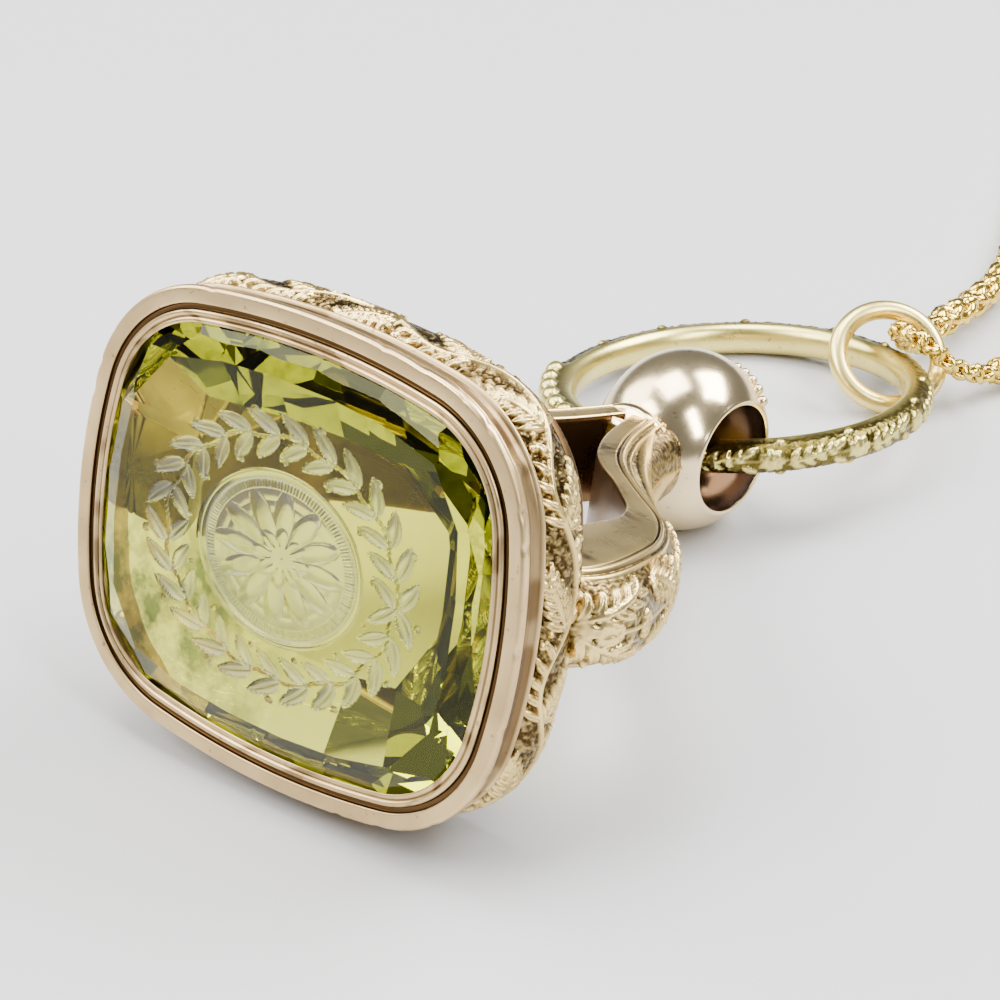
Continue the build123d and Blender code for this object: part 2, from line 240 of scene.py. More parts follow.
def spline_through(points: np.ndarray, shares: np.ndarray) -> np.ndarray:
    """Catmull-Rom curve: between two points, a cubic whose slopes come from their neighbours.

    Args:
        points: Points that the curve passes through.
        shares: Shares of the way from the first point to the last, 0 to 1.

    Returns:
        A point for each share.
    """
    padded = np.vstack([2 * points[0] - points[1], points, 2 * points[-1] - points[-2]])
    place = np.clip(shares, 0, 1) * (len(points) - 1)
    index = np.minimum(place.astype(int), len(points) - 2)
    t = (place - index)[:, None]
    p0, p1, p2, p3 = (padded[index + k] for k in range(4))
    linear = (p2 - p0) * t
    square = (2 * p0 - 5 * p1 + 4 * p2 - p3) * t**2
    cube = (3 * p1 - p0 - 3 * p2 + p3) * t**3
    return 0.5 * (2 * p1 + linear + square + cube)


def soften(profile: np.ndarray, reach: float, steps: int, closed: bool) -> np.ndarray:
    """Rounds each corner of a profile by a parabola that starts and ends at most reach from it.

    On a short side, a rounding takes less than half of the side.

    Args:
        profile: Corners of the profile, n by 2.
        reach: Distance from a corner at which its rounding starts.
        steps: Points on each rounding.
        closed: Whether the last corner joins the first.

    Returns:
        The rounded profile's points.
    """
    most = 0.45
    before = np.roll(profile, 1, axis=0) - profile
    after = np.roll(profile, -1, axis=0) - profile
    length_before = np.linalg.norm(before, axis=1, keepdims=True)
    length_after = np.linalg.norm(after, axis=1, keepdims=True)
    start = profile + before / length_before * np.minimum(reach, most * length_before)
    end = profile + after / length_after * np.minimum(reach, most * length_after)
    t = np.linspace(0, 1, steps)[None, :, None]
    bends = (1 - t) ** 2 * start[:, None] + 2 * t * (1 - t) * profile[:, None] + t**2 * end[:, None]
    if not closed:
        bends[0], bends[-1] = profile[0], profile[-1]
    return bends.reshape(-1, 2)


def leaf_height(
    along: np.ndarray, across: np.ndarray, length: float, width: float, vein: float
) -> np.ndarray:
    """Height of a carved leaf: half round across, pointed at both ends, grooved on its midrib.

    With s the share of the way along, its half width is a power of sin(pi * s^0.8). The height is
    the half circle over that width, swelling with sin(pi * s), less a bell curve at the midrib.

    Args:
        along: Distance from the leaf's base along its midrib.
        across: Distance from the midrib.
        length: Length of the leaf.
        width: Greatest width.
        vein: Depth of the midrib's groove as a share of the height.

    Returns:
        Heights from 0 outside the leaf to about 1.
    """
    groove_share, least_half = 0.09, 1e-6
    share = np.clip(along / length, 0.0, 1.0)
    half = 0.5 * width * np.sin(math.pi * share**0.8) ** 0.7 + least_half
    body = np.sqrt(np.clip(1 - (across / half) ** 2, 0.0, 1.0))
    swell = 0.5 + 0.5 * np.sin(math.pi * share)
    groove = 1 - vein * np.exp(-((across / (groove_share * width)) ** 2))
    return body * swell * groove


@dataclass
class ReliefField:
    """Raised ornament on an unrolled strip: distance along it and distance across it.

    period closes the strip on itself, and 0 leaves it open.
    """

    along: np.ndarray
    across: np.ndarray
    period: float = 0.0
    height: np.ndarray = field(init=False)

    def __post_init__(self) -> None:
        """Starts from a flat ground."""
        self.height = np.zeros(self.along.shape)

    def offset(self, base: float) -> np.ndarray:
        """Distance along the strip from a place on it, the short way round where the strip closes.

        Args:
            base: The place, as a distance along the strip.

        Returns:
            The signed distance of every point of the strip.
        """
        away = self.along - base
        if self.period:
            away = (away + self.period / 2) % self.period - self.period / 2
        return away

    def leaf(self, base: tuple[float, float], heading: float, size: tuple[float, float], vein: float,
             level: float = 1.0) -> None:
        """Raises one leaf.

        Args:
            base: Foot of the leaf, along and across the strip.
            heading: Turn of its midrib from the strip's direction, in degrees.
            size: Length and width.
            vein: Depth of its midrib's groove as a share of its height.
            level: Height of the leaf.
        """
        turn = math.radians(heading)
        away, aside = self.offset(base[0]), self.across - base[1]
        forward = away * math.cos(turn) + aside * math.sin(turn)
        sideways = aside * math.cos(turn) - away * math.sin(turn)
        self.height = np.maximum(self.height, level * leaf_height(forward, sideways, *size, vein))

    def dome(self, base: tuple[float, float], radius: float, level: float = 1.0) -> None:
        """Raises one half ball: the square root of 1 - (distance / radius)^2."""
        square = (self.offset(base[0]) ** 2 + (self.across - base[1]) ** 2) / radius**2
        self.height = np.maximum(self.height, level * np.sqrt(np.clip(1 - square, 0.0, 1.0)))

    def flower(self, base: tuple[float, float], radius: float, petals: int) -> None:
        """Raises a ring of petals, each a short leaf, round a dome.

        Args:
            base: Middle of the flower, along and across the strip.
            radius: Length of a petal.
            petals: Number of petals.
        """
        for petal in range(petals):
            self.leaf(base, 360 * petal / petals, (radius, 0.75 * radius), 0.45, 0.85)
        self.dome(base, 0.32 * radius)

    def spray(self, base: tuple[float, float], heading: float, length: float, pairs: int,
              lobe: tuple[float, float], lean: float = 46.0) -> None:
        """Raises an acanthus leaf: a midrib and pairs of lobes that shrink towards its tip.

        Args:
            base: Foot of the midrib.
            heading: Turn of the midrib from the strip's direction, in degrees.
            length: Length of the midrib.
            pairs: Number of pairs of lobes.
            lobe: Length and width of the lowest lobes.
            lean: Turn of a lobe from the midrib, in degrees.
        """
        turn = math.radians(heading)
        for index in range(pairs):
            share = (index + 0.2) / pairs
            foot = (base[0] + share * length * math.cos(turn), base[1] + share * length * math.sin(turn))
            size = (lobe[0] * (1 - 0.45 * share), lobe[1] * (1 - 0.3 * share))
            for side in (-1, 1):
                self.leaf(foot, heading + side * (lean - 12 * share), size, 0.55, 0.9)
        self.leaf(base, heading, (1.12 * length, 0.62 * lobe[1]), 0.25)

    def stem(self, line: np.ndarray, width: float, level: float = 0.7) -> None:
        """Raises a round stem where the strip's across distance is near line."""
        square = ((self.across - line) / (width / 2)) ** 2
        self.height = np.maximum(self.height, level * np.sqrt(np.clip(1 - square, 0.0, 1.0)))

    def matted(self, cell: float, depth: float, seed: int) -> np.ndarray:
        """Ground between the ornament, punched to a grain: noise that fades where metal is raised.

        Args:
            cell: Size of a grain.
            depth: Height of the grain.
            seed: Seed of the noise.

        Returns:
            The grain's height, about 0 on the ornament.
        """
        grain = value_noise(self.along, self.across, cell, seed)
        grain = grain + 0.6 * value_noise(self.along, self.across, 0.45 * cell, seed + 1)
        return depth * grain * (1 - smooth_step(0.1, 0.5, self.height))


@dataclass(frozen=True)
class SealFrame:
    """The seal's own frame: across and up in the face, back into the handle."""

    tilt: float
    height: float

    @classmethod
    def from_record(cls, record: dict, table_height: float) -> "SealFrame":
        """Reads the tilt and height from the mount on the stone's table.

        Args:
            record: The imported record.
            table_height: How far the table stands in front of the rim.

        Returns:
            The frame, with its origin in the middle of the rim's front plane.
        """
        face = next(mount for mount in record["mounts"] if mount["name"] == "seal_face")
        tilt = math.atan2(face["axis"][2], -face["axis"][1])
        height = face["pos_m"][2] / METRE - table_height * math.sin(tilt)
        return cls(tilt, height)

    def place(self, points: np.ndarray) -> np.ndarray:
        """Turns points of the seal's frame by its tilt and lifts them into the part's frame.

        Args:
            points: Points (across, back, up).

        Returns:
            Points (x, y, z) of the part.
        """
        across, back, up = points[..., 0], points[..., 1], points[..., 2]
        forward = back * math.cos(self.tilt) + up * math.sin(self.tilt)
        risen = self.height - back * math.sin(self.tilt) + up * math.cos(self.tilt)
        return np.stack([across, forward, risen], axis=-1)

    def unplace(self, points: np.ndarray) -> np.ndarray:
        """Takes points of the part's frame back into the seal's frame, the other way round.

        Args:
            points: Points (x, y, z) of the part.

        Returns:
            Points (across, back, up).
        """
        across, forward, risen = points[..., 0], points[..., 1], points[..., 2] - self.height
        back = forward * math.cos(self.tilt) - risen * math.sin(self.tilt)
        up = forward * math.sin(self.tilt) + risen * math.cos(self.tilt)
        return np.stack([across, back, up], axis=-1)


@dataclass(frozen=True)
class CushionOutline:
    """The seal face's outline: two long and two short bowed sides and four round corners."""

    length: float = 27.0
    width: float = 23.1
    long_bow: float = 42.4
    short_bow: float = 27.4
    corner_bow: float = 7.1

    def corner(self) -> np.ndarray:
        """Centre of a corner arc: where circles about the two side arcs' centres meet.

        Returns:
            The centre in the quarter where both coordinates are positive.
        """
        long_centre = np.array([0.0, self.width / 2 - self.long_bow])
        short_centre = np.array([self.length / 2 - self.short_bow, 0.0])
        long_reach, short_reach = self.long_bow - self.corner_bow, self.short_bow - self.corner_bow
        apart = short_centre - long_centre
        gap = float(np.linalg.norm(apart))
        along = (gap**2 + long_reach**2 - short_reach**2) / (2 * gap)
        unit = apart / gap
        normal = np.array([unit[1], -unit[0]])
        return long_centre + unit * along + normal * math.sqrt(long_reach**2 - along**2)

    def at_heading(self, heading: np.ndarray) -> np.ndarray:
        """Point of the outline whose outward normal has the given heading.

        The heading is folded into one quarter, where the point is an arc's centre plus its radius
        times the normal, and the signs of the quarter are put back.

        Args:
            heading: Headings of outward normals, in radians.

        Returns:
            A point (across, up) for each heading.
        """
        corner = self.corner()
        short_centre = self.length / 2 - self.short_bow
        long_centre = self.width / 2 - self.long_bow
        short_turn = math.atan2(corner[1], corner[0] - short_centre)
        long_turn = math.atan2(corner[1] - long_centre, corner[0])
        folded = np.arccos(np.clip(np.abs(np.cos(heading)), 0, 1))
        picks = [folded < short_turn, folded > long_turn]
        centre_x = np.select(picks, [short_centre, 0.0], corner[0])
        centre_y = np.select(picks, [0.0, long_centre], corner[1])
        radius = np.select(picks, [self.short_bow, self.long_bow], self.corner_bow)
        x = np.sign(np.cos(heading)) * (centre_x + radius * np.cos(folded))
        y = np.sign(np.sin(heading)) * (centre_y + radius * np.sin(folded))
        return np.stack([x, y], axis=-1)

    def sample(self, count: int) -> tuple[np.ndarray, np.ndarray, np.ndarray]:
        """Evenly spaced points of the outline.

        Args:
            count: Number of points round the outline.

        Returns:
            The points, their outward normals, and each point's distance along the outline.
        """
        dense_points, start = 20001, 1e-4
        heading = np.linspace(0, FULL_TURN, dense_points) + start
        dense = self.at_heading(heading)
        steps = np.linalg.norm(np.diff(dense, axis=0), axis=1)
        length = np.r_[0, np.cumsum(steps)]
        distance = np.arange(count) * length[-1] / count
        even = np.interp(distance, length, heading)
        normals = np.stack([np.cos(even), np.sin(even)], axis=-1)
        return self.at_heading(even), normals, distance


@dataclass
class SealMount:
    """The gold mount: bezel, ornament band, handle, collar and hollow bead."""

    seal: SealFrame
    outline: CushionOutline = field(default_factory=CushionOutline)
    round_points: int = 1400
    bezel_points: int = 600
    band_radius: float = 2.0
    band_relief: float = 0.3
    band_inset: float = 1.8
    band_middle: float = 3.42
    band_half: float = 1.4
    bezel_depth: float = 5.3
    arm_reach: float = 14.9
    neck_length: float = 21.7
    arm_half_thick: float = 2.4
    arm_relief: float = 0.3
    relief_level: float = 0.6
    side_share: float = 0.64
    neck_side_share: float = 0.32
    arm_overlap: float = 0.03
    bead_radius: float = 4.85
    bead_half_length: float = 3.32
    bead_end_radius: float = 3.18
    bead_wall: float = 0.3
    bead_seat: float = 26.1
    strip_bead_radius: float = 0.3
    strip_beads: int = 11
    strip_turn: float = 48.0
    collar_radius: float = 2.75
    spots: tuple = (
        (11.5, 7.26, 2.4, 0.35, 1.0), (8.9, 13.5, 2.4, 0.9, 0.95), (2.6, 20.2, 2.4, 1.1, 0.95),
        (6.6, 15.6, 2.4, 0.7, 0.7), (13.0, 5.2, 2.0, 0.6, 0.5),
    )
    solder_drop: tuple = (11.7, 0.9, 8.1, 0.4)

    def ring_of_profile(self, profile: np.ndarray, points: int) -> np.ndarray:
        """Carries a closed profile round the outline: outline point + out * normal, and back.

        Noise of the place pushes the rim's outer edge in a little, as dents, and wavers it slowly.
        A bell curve of the distance from one place in the cove raises a small drop of solder.

        Args:
            profile: Profile points (out from the rim's edge, back from the rim).
            points: Number of profiles round the outline.

        Returns:
            A grid of points in the part's frame.
        """
        shift, dent_cell, sway_cell = 40, 0.8, 3.5
        dent_depth, sway_depth, drop_rise = 0.07, 0.01, 0.22
        places, normals, _ = self.outline.sample(points)
        right, top = places[:, :1] + shift, places[:, 1:] + shift
        wear = value_noise(right + profile[None, :, 1], top, dent_cell, seed=5)
        sway = value_noise(right, top + profile[None, :, 1], sway_cell, seed=6)
        worn_edge = smooth_step(-0.45, -0.05, profile[:, 0]) * smooth_step(0.9, 0.4, profile[:, 1])
        dent = sway_depth * sway - dent_depth * smooth_step(0.45, 0.95, wear) * worn_edge
        across, back, up, size = self.solder_drop
        away = np.hypot(places[:, :1] - across, places[:, 1:] - up) ** 2 + (profile[None, :, 1] - back) ** 2
        dent = dent + drop_rise * np.exp(-away / size**2) * (profile[None, :, 0] > -0.9)
        flat = places[:, None, :] + (profile[None, :, :1] + dent[..., None]) * normals[:, None, :]
        back = np.broadcast_to(profile[None, :, 1], flat.shape[:2])
        return self.seal.place(np.stack([flat[..., 0], back, flat[..., 1]], axis=-1))

    def bezel(self) -> bpy.types.Object:
        """The bezel: satin rim, dark groove, layered lip, cove and back face, with small dents.

        The relief mask paints shade dark in the groove, in the lip's line, in the cove and under the band,
        and noise of the place lays grime on the lip. The wall behind the stone stays bright.

        Returns:
            The bezel.
        """
        corners = np.array([
            (0.0, 0.1), (0.03, 0.3), (-0.02, 0.36), (-0.02, 0.41), (0.0, 0.46),
            (-0.16, 0.66), (-0.34, 1.0), (-0.4, 1.34), (-0.34, 1.6), (-0.16, 1.74),
            (-0.16, 1.86), (-0.34, 1.93), (-0.38, 2.0), (-0.9, 2.06), (-0.9, 4.7),
            (-0.62, 4.78), (-0.6, 5.15), (-0.75, 5.3), (-1.95, 5.3), (-1.95, 1.2),
            (-1.38, 0.75), (-1.38, 0.34), (-1.74, 0.03), (-1.7, -0.02), (-1.58, -0.03),
            (-1.49, 0.03), (-1.44, 0.1), (-1.39, 0.03), (-1.3, -0.03), (-1.18, -0.01),
            (-1.12, 0.05), (-1.1, 0.24), (-0.84, 0.24), (-0.81, 0.02), (-0.74, 0.0), (-0.12, 0.0),
        ])
        profile = soften(corners, reach=0.06, steps=4, closed=True)
        points = self.ring_of_profile(profile, self.bezel_points)
        out, back = profile[:, 0], profile[:, 1]
        # painted shade: the groove, the lip's line, the cove and the wall under the band are painted dark
        depth = back + 0.6 * np.clip(-out - 1.1, 0, 0.3)
        in_groove = (out < -0.8) & (out > -1.12) & (back > 0.05) & (back < 0.6)
        in_line = (out < -1.4) & (out > -1.5) & (back > 0.02)
        in_cove = smooth_step(0.5, 0.9, depth) * (back < 1.68)
        under_band = (back > 1.88) & (out < -0.3)
        dark = 1.0 * in_groove + 0.6 * in_line + 0.6 * in_cove + 0.95 * under_band
        shift, grime_cell, grime_share = 60, 1.1, 0.6
        places = self.outline.sample(self.bezel_points)[0] + shift
        grime = value_noise(places[:, :1] + 2 * out[None, :], places[:, 1:], grime_cell, seed=93)
        near_lip = smooth_step(-0.75, -1.2, out) + 0.5 * smooth_step(0.2, 0.5, back)
        dark = dark[None, :] + grime_share * smooth_step(0.1, 0.7, grime) * near_lip[None, :]
        behind_stone = (out < -1.85) & (back > 1.1)
        dark = np.where(behind_stone[None, :], 0.0, np.clip(dark, 0, 1))
        return make_piece("bezel", [grid_shell(points, close_rows=True, relief=1 - dark)])

    def band_ornament(self, along: np.ndarray, across: np.ndarray, period: float) -> ReliefField:
        """Foliage of the band: a waving stem, an acanthus leaf in each hollow, and flowers.

        Args:
            along: Distance round the seal.
            across: Distance across the band from its middle.
            period: Length of the outline.

        Returns:
            The relief field of the band.
        """
        strip = ReliefField(along, across, period)
        waves, strokes, swing = 9, 5, 0.7
        step = period / waves
        strip.stem(swing * np.sin(FULL_TURN * along / step), 0.3)
        for half in range(2 * waves):
            side = 1 - 2 * (half % 2)
            start = 0.5 * half * step
            strip.spray((start + 0.3, 0.1 * side), -24 * side, 3.3, 6, (1.35, 0.5))
            strip.flower((start + 0.27 * step, -0.98 * side), 0.6, 6)
            for stroke in range(strokes):
                share = 0.06 + 0.085 * stroke
                height = swing * math.sin(FULL_TURN * share)
                size = (1.5 - 0.12 * stroke, 0.46)
                strip.leaf((start + share * step, height * side), (62 - 9 * stroke) * side, size, 0.5)
            strip.dome((start + 0.47 * step, 1.05 * side), 0.24)
            strip.dome((start + 0.53 * step, 0.75 * side), 0.18)
        return strip

    def ornament_band(self) -> bpy.types.Object:
        """The band: an arc bulging outwards, raised by its ornament along the arc's normal.

        A plain inner face, out of sight in the bezel, closes the section.

        Returns:
            The band.
        """
        columns, inner_face = 58, -1.25
        ground = self.band_radius - self.band_relief
        places, normals, distance = self.outline.sample(self.round_points)
        period = float(distance[1] * len(distance))
        turn = math.asin(self.band_half / ground)
        angle = np.linspace(-turn, turn, columns)
        along, swing = np.meshgrid(distance, angle, indexing="ij")
        across = swing * ground
        strip = self.band_ornament(along, across, period)
        fade = smooth_step(0, 0.12, turn - np.abs(swing))
        height = (self.band_relief * strip.height + strip.matted(0.2, 0.05, seed=11)) * fade
        height = np.minimum(height, self.band_relief)
        out = -self.band_inset + (ground + height) * np.cos(swing)
        back = self.band_middle + (ground + height) * np.sin(swing)
        inner_out = np.full((len(distance), 2), inner_face)
        inner_back = np.broadcast_to(
            self.band_middle + self.band_half * np.array([1.0, -1.0]), (len(distance), 2)
        )
        out = np.concatenate([out, inner_out], axis=1)
        back = np.concatenate([back, inner_back], axis=1)
        flat = places[:, None, :] + out[..., None] * normals[:, None, :]
        points = self.seal.place(np.stack([flat[..., 0], back, flat[..., 1]], axis=-1))
        # painted shade: the ground between the ornament is painted darker and the hidden inner face dark;
        # the matted grain mottles it
        relief = 0.08 + 0.92 * smooth_step(0.0, 0.6, strip.height) + strip.matted(0.2, 0.35, seed=11)
        relief = np.clip(relief, 0, 1)
        relief = np.concatenate([relief, np.zeros((len(distance), 2))], axis=1)
        return make_piece("ornament_band", [grid_shell(points, close_rows=True, relief=relief)])

    def arm_lines(self, rows: int) -> tuple[np.ndarray, np.ndarray]:
        """Inner line and crest of the right arm, as smooth curves through chosen stations.

        Args:
            rows: Number of points on each line.

        Returns:
            The inner line and the crest, as (across, back) points.
        """
        stations = np.array([
            (0.550, -0.018, 0.830, -0.050), (0.552, 0.045, 0.962, 0.012), (0.560, 0.134, 1.000, 0.092),
            (0.591, 0.281, 0.960, 0.198), (0.601, 0.355, 0.899, 0.304),
            (0.557, 0.424, 0.819, 0.406), (0.483, 0.475, 0.705, 0.493),
            (0.376, 0.539, 0.577, 0.567), (0.275, 0.590, 0.463, 0.641),
            (0.188, 0.650, 0.362, 0.728), (0.121, 0.724, 0.295, 0.816),
            (0.067, 0.811, 0.242, 0.903), (0.000, 0.963, 0.195, 1.009),
        ])
        sizes = np.array([self.arm_reach, self.neck_length] * 2)
        lines = stations * sizes + np.array([0, self.bezel_depth] * 2)
        smooth = spline_through(lines, np.linspace(0, 1, rows))
        return smooth[:, :2], smooth[:, 2:]

    def arm_ornament(self, along: np.ndarray, across: np.ndarray, length: float) -> ReliefField:
        """Carving of an arm's outer face: slanting acanthus leaves, flowers and a neck leaf.

        Args:
            along: Distance along the crest from the band.
            across: Distance round the outer face from the crest.
            length: Length of the crest.

        Returns:
            The relief field of the arm.
        """
        face = ReliefField(along, across)
        for side in (-1, 1):
            face.leaf((0.5, 1.9 * side), -14 * side, (1.2, 0.6), 0.5)
            face.spray((1.0, 0.25 * side), 24 * side, 4.4, 5, (1.9, 0.68))
            face.flower((5.2, 0.35 * side), 0.5, 7)
            face.spray((6.1, 2.1 * side), -27 * side, 4.0, 5, (1.7, 0.62))
            face.flower((9.6, 1.5 * side), 0.6, 7)
            face.spray((10.3, 0.4 * side), 22 * side, 3.9, 5, (1.5, 0.58))
        rail_gap, rail_size, rail_level, dots = 0.22, 0.1, 0.8, 6
        edge_gap = np.max(np.abs(across), axis=1, keepdims=True) - np.abs(across)
        rail = np.exp(-(((edge_gap - rail_gap) / rail_size) ** 2))
        face.height = np.maximum(face.height, rail_level * rail)
        for index in range(dots):
            face.dome((2.2 + 2.1 * index, 2.2 if index % 2 else -2.2), 0.18)
        neck, neck_share = 0.6 * length, 0.42
        for turn, size in ((0, 1.9), (24, 1.1), (-24, 1.1)):
            face.leaf((neck - 1.2, 0.02 * turn), 0.5 * turn, (neck_share * length, size), 0.1, 0.9)
        return face

    def arm_shell(self) -> Shell:
        """The right arm, with flat polished sides and a carved dome outside.

        A point is the inner line's point, plus a distance towards the crest, plus a height. A row of
        lay is one place of the near side, from the middle of the inner face over the flat side to
        the groove and bead at its edge: share of the flat side's width, distance added, height.
        The dome is a quarter ellipse from the bead to the crest, raised along its normal, and the
        far half is a mirror image of the near one.

        Returns:
            The arm's shell, without its spots.
        """
        rows, dome_points = 320, 38
        inner, crest = self.arm_lines(rows)
        width = np.linalg.norm(crest - inner, axis=1)[:, None]
        outward = (crest - inner) / width
        steps = np.linalg.norm(np.diff(crest, axis=0), axis=1)
        along_line = np.r_[0, np.cumsum(steps)]
        half = self.arm_half_thick
        narrowing = smooth_step(0.28, 0.6, along_line / along_line[-1])[:, None]
        edge = (self.side_share + (self.neck_side_share - self.side_share) * narrowing) * width
        lay = [
            (0, 0, 0.0), (0, 0, 0.45 * half), (0, 0, half - 0.3), (0, 0.02, half - 0.1),
            (0, 0.1, half - 0.02), (0, 0.22, half), (0.4, 0.1, half), (0.75, 0.05, half),
            (1, -0.1, half), (1, -0.03, half - 0.02), (1, 0.01, half - 0.13), (1, 0.08, half - 0.15),
            (1, 0.12, half - 0.05), (1, 0.18, half + 0.01), (1, 0.26, half + 0.03),
            (1, 0.34, half + 0.0), (1, 0.4, half - 0.08), (1, 0.45, half - 0.2),
        ]
        shares = np.array([row[0] for row in lay])[None, :]
        reach = shares * edge + np.array([row[1] for row in lay])[None, :]
        rise = np.broadcast_to(np.array([row[2] for row in lay])[None, :], reach.shape)
        quarter = np.linspace(0, math.pi / 2, dome_points)[None, :]
        base, top = edge + 0.47, half - 0.22
        dome_reach = base + (width - base) * np.sin(quarter)
        dome_rise = top * np.cos(quarter) ** 0.85
        round_way = np.hypot(np.diff(dome_reach, axis=1), np.diff(dome_rise, axis=1))
        run = np.concatenate([np.zeros((rows, 1)), np.cumsum(round_way, axis=1)], axis=1)
        across = run[:, -1:] - run
        along = np.broadcast_to(along_line[:, None], across.shape)
        both_along = np.concatenate([along, along[:, -2::-1]], axis=1)
        both_across = np.concatenate([across, -across[:, -2::-1]], axis=1)
        face = self.arm_ornament(both_along, both_across, float(along_line[-1]))
        grain = face.matted(0.15, 0.02, seed=31)
        fade = smooth_step(0, 0.35, both_across[:, :1] - np.abs(both_across))
        height = (self.arm_relief * (face.height - self.relief_level) + grain) * fade
        slope_reach = np.broadcast_to(np.sin(quarter), across.shape)
        slope_rise = np.broadcast_to(np.cos(quarter), across.shape)
        mirror_reach = np.concatenate([slope_reach, slope_reach[:, -2::-1]], axis=1)
        mirror_rise = np.concatenate([slope_rise, -slope_rise[:, -2::-1]], axis=1)
        dome_reach = np.concatenate([dome_reach, dome_reach[:, -2::-1]], axis=1) + height * mirror_reach
        dome_rise = np.concatenate([dome_rise, -dome_rise[:, -2::-1]], axis=1) + height * mirror_rise
        reach = np.concatenate([reach, dome_reach, reach[:, :0:-1]], axis=1)
        rise = np.concatenate([rise, dome_rise, -rise[:, :0:-1]], axis=1)
        columns = reach.shape[1]
        flat = inner[:, None, :] + reach[..., None] * outward[:, None, :]
        flat[..., 0] = np.maximum(flat[..., 0], 0) - self.arm_overlap
        points = np.stack([flat[..., 0], flat[..., 1], rise], axis=-1)
        # painted shade: the groove at the flat side's edge and the foot of the dome are painted dark
        side_shading = np.array([1, 1, 1, 1, 1, 1, 1, 1, 0.9, 0.3, 0.0, 0.0, 0.4, 0.95, 1, 0.95, 0.5, 0.1])
        sides = np.broadcast_to(side_shading[None, :], (rows, len(lay)))
        # painted shade: the ground between the carving is painted darker, and the grain mottles it
        carved = np.clip(0.14 + 0.86 * smooth_step(0.05, 0.5, face.height) + 18 * grain, 0, 1)
        relief = np.concatenate([sides, carved, sides[:, :0:-1]], axis=1)
        # painted shade: the inner face of each arm is painted brown through the second mask
        inner_columns = 4
        stain_shade_frost = np.zeros((rows, columns))
        stain_shade_frost[:, :inner_columns] = 1.0
        stain_shade_frost[:, 1 - inner_columns:] = 1.0
        return grid_shell(self.seal.place(points), close_rows=False, relief=relief, stain_shade_frost=stain_shade_frost)

    def handle_arms(self) -> bpy.types.Object:
        """Both arms with their halves of the neck, the left one a mirror image of the right.

        The right one has brown and sooty spots, each a bell curve of the distance from its middle,
        broken up by noise.

        Returns:
            The arms.
        """
        shift, cell = 50, 0.28
        plain = self.arm_shell()
        local = self.seal.unplace(plain.points)
        broken = value_noise(local[:, 0] + shift, local[:, 1] + local[:, 2] + shift, cell, seed=83)
        # the second mask starts from the painted shade of the inner faces; the spots are stains
        stain_shade_frost = plain.stain_shade_frost.ravel()
        for *middle, size, depth in self.spots:
            away = np.linalg.norm(local - np.array(middle), axis=1)
            spot = depth * np.exp(-((away / size) ** 2)) * smooth_step(-0.5, 0.4, broken)
            stain_shade_frost = np.maximum(stain_shade_frost, spot)
        right = Shell(plain.points, plain.faces, plain.relief, stain_shade_frost)
        mirrored = plain.points * np.array([-1.0, 1.0, 1.0])
        left = Shell(mirrored, plain.faces[:, ::-1], plain.relief, plain.stain_shade_frost)
        return make_piece("handle_arms", [right, left])

    def turned(self, profile: np.ndarray, centre: float, along: int, points: int) -> np.ndarray:
        """Turns a profile (place along an axis, distance from it) about an axis of the seal.

        Args:
            profile: Profile points.
            centre: Distance of the axis origin back from the rim.
            along: 0 for an axis across the seal, 1 for one that runs back.
            points: Number of profiles round the axis.

        Returns:
            A grid of points in the part's frame.
        """
        angle = np.linspace(0, FULL_TURN, points, endpoint=False)[:, None]
        place = np.broadcast_to(profile[None, :, 0], (points, len(profile)))
        first = profile[None, :, 1] * np.cos(angle)
        second = profile[None, :, 1] * np.sin(angle)
        if along == 0:
            local = np.stack([place, first + centre, second], axis=-1)
        else:
            local = np.stack([first, place + centre, second], axis=-1)
        return self.seal.place(local)

    def bead_profile(self, shrink: float, points: int) -> np.ndarray:
        """The bead's side: an arc through both end circles and the middle circle.

        Args:
            shrink: Distance by which the arc is drawn in.
            points: Number of points on it.

        Returns:
            Profile points (place along the bore, distance from it).
        """
        rise = self.bead_radius - self.bead_end_radius
        arc = (self.bead_half_length**2 + rise**2) / (2 * rise)
        turn = math.asin(self.bead_half_length / arc)
        angle = np.linspace(-turn, turn, points)
        distance = self.bead_radius - arc + arc * np.cos(angle) - shrink
        return np.stack([arc * np.sin(angle), distance], axis=-1)

    def hollow_bead(self) -> bpy.types.Object:
        """The hollow bead, open at both ends, with a rolled edge round each opening.

        Noise of the place draws it in by up to about 1 percent, so its polish reflects unevenly.

        Returns:
            The bead.
        """
        outer_points, inner_points, turns = 48, 30, 160
        shift, sway_cell, sway_share = 30, 2.3, 0.006
        outer = self.bead_profile(0.0, outer_points)
        inner = self.bead_profile(self.bead_wall, inner_points)[::-1]
        edge, mouth = self.bead_half_length, self.bead_end_radius
        lip_right = np.array([(edge + 0.06, mouth - 0.06), (edge + 0.08, mouth - 0.16),
                              (edge + 0.03, mouth - 0.27)])
        lip_left = lip_right[::-1] * np.array([-1.0, 1.0])
        profile = np.concatenate([outer, lip_right, inner, lip_left])
        centre = self.bead_seat + self.bead_radius
        points = self.turned(profile, centre, along=0, points=turns)
        middle = self.seal.place(np.array([0.0, centre, 0.0]))
        slant = points[..., 1] + points[..., 2]
        sway = value_noise(points[..., 0] + shift, slant + shift, sway_cell, seed=71)
        points = middle + (points - middle) * (1 + sway_share * (sway[..., None] - 1))
        # painted shade: the inside of the bead is painted dark through the second mask
        inside = np.zeros(len(profile))
        first_inside = len(outer) + len(lip_right)
        inside[first_inside:first_inside + len(inner)] = 1.0
        stain_shade_frost = np.broadcast_to(inside, points.shape[:2]).copy()
        return make_piece("hollow_bead", [grid_shell(points, close_rows=True, stain_shade_frost=stain_shade_frost)])

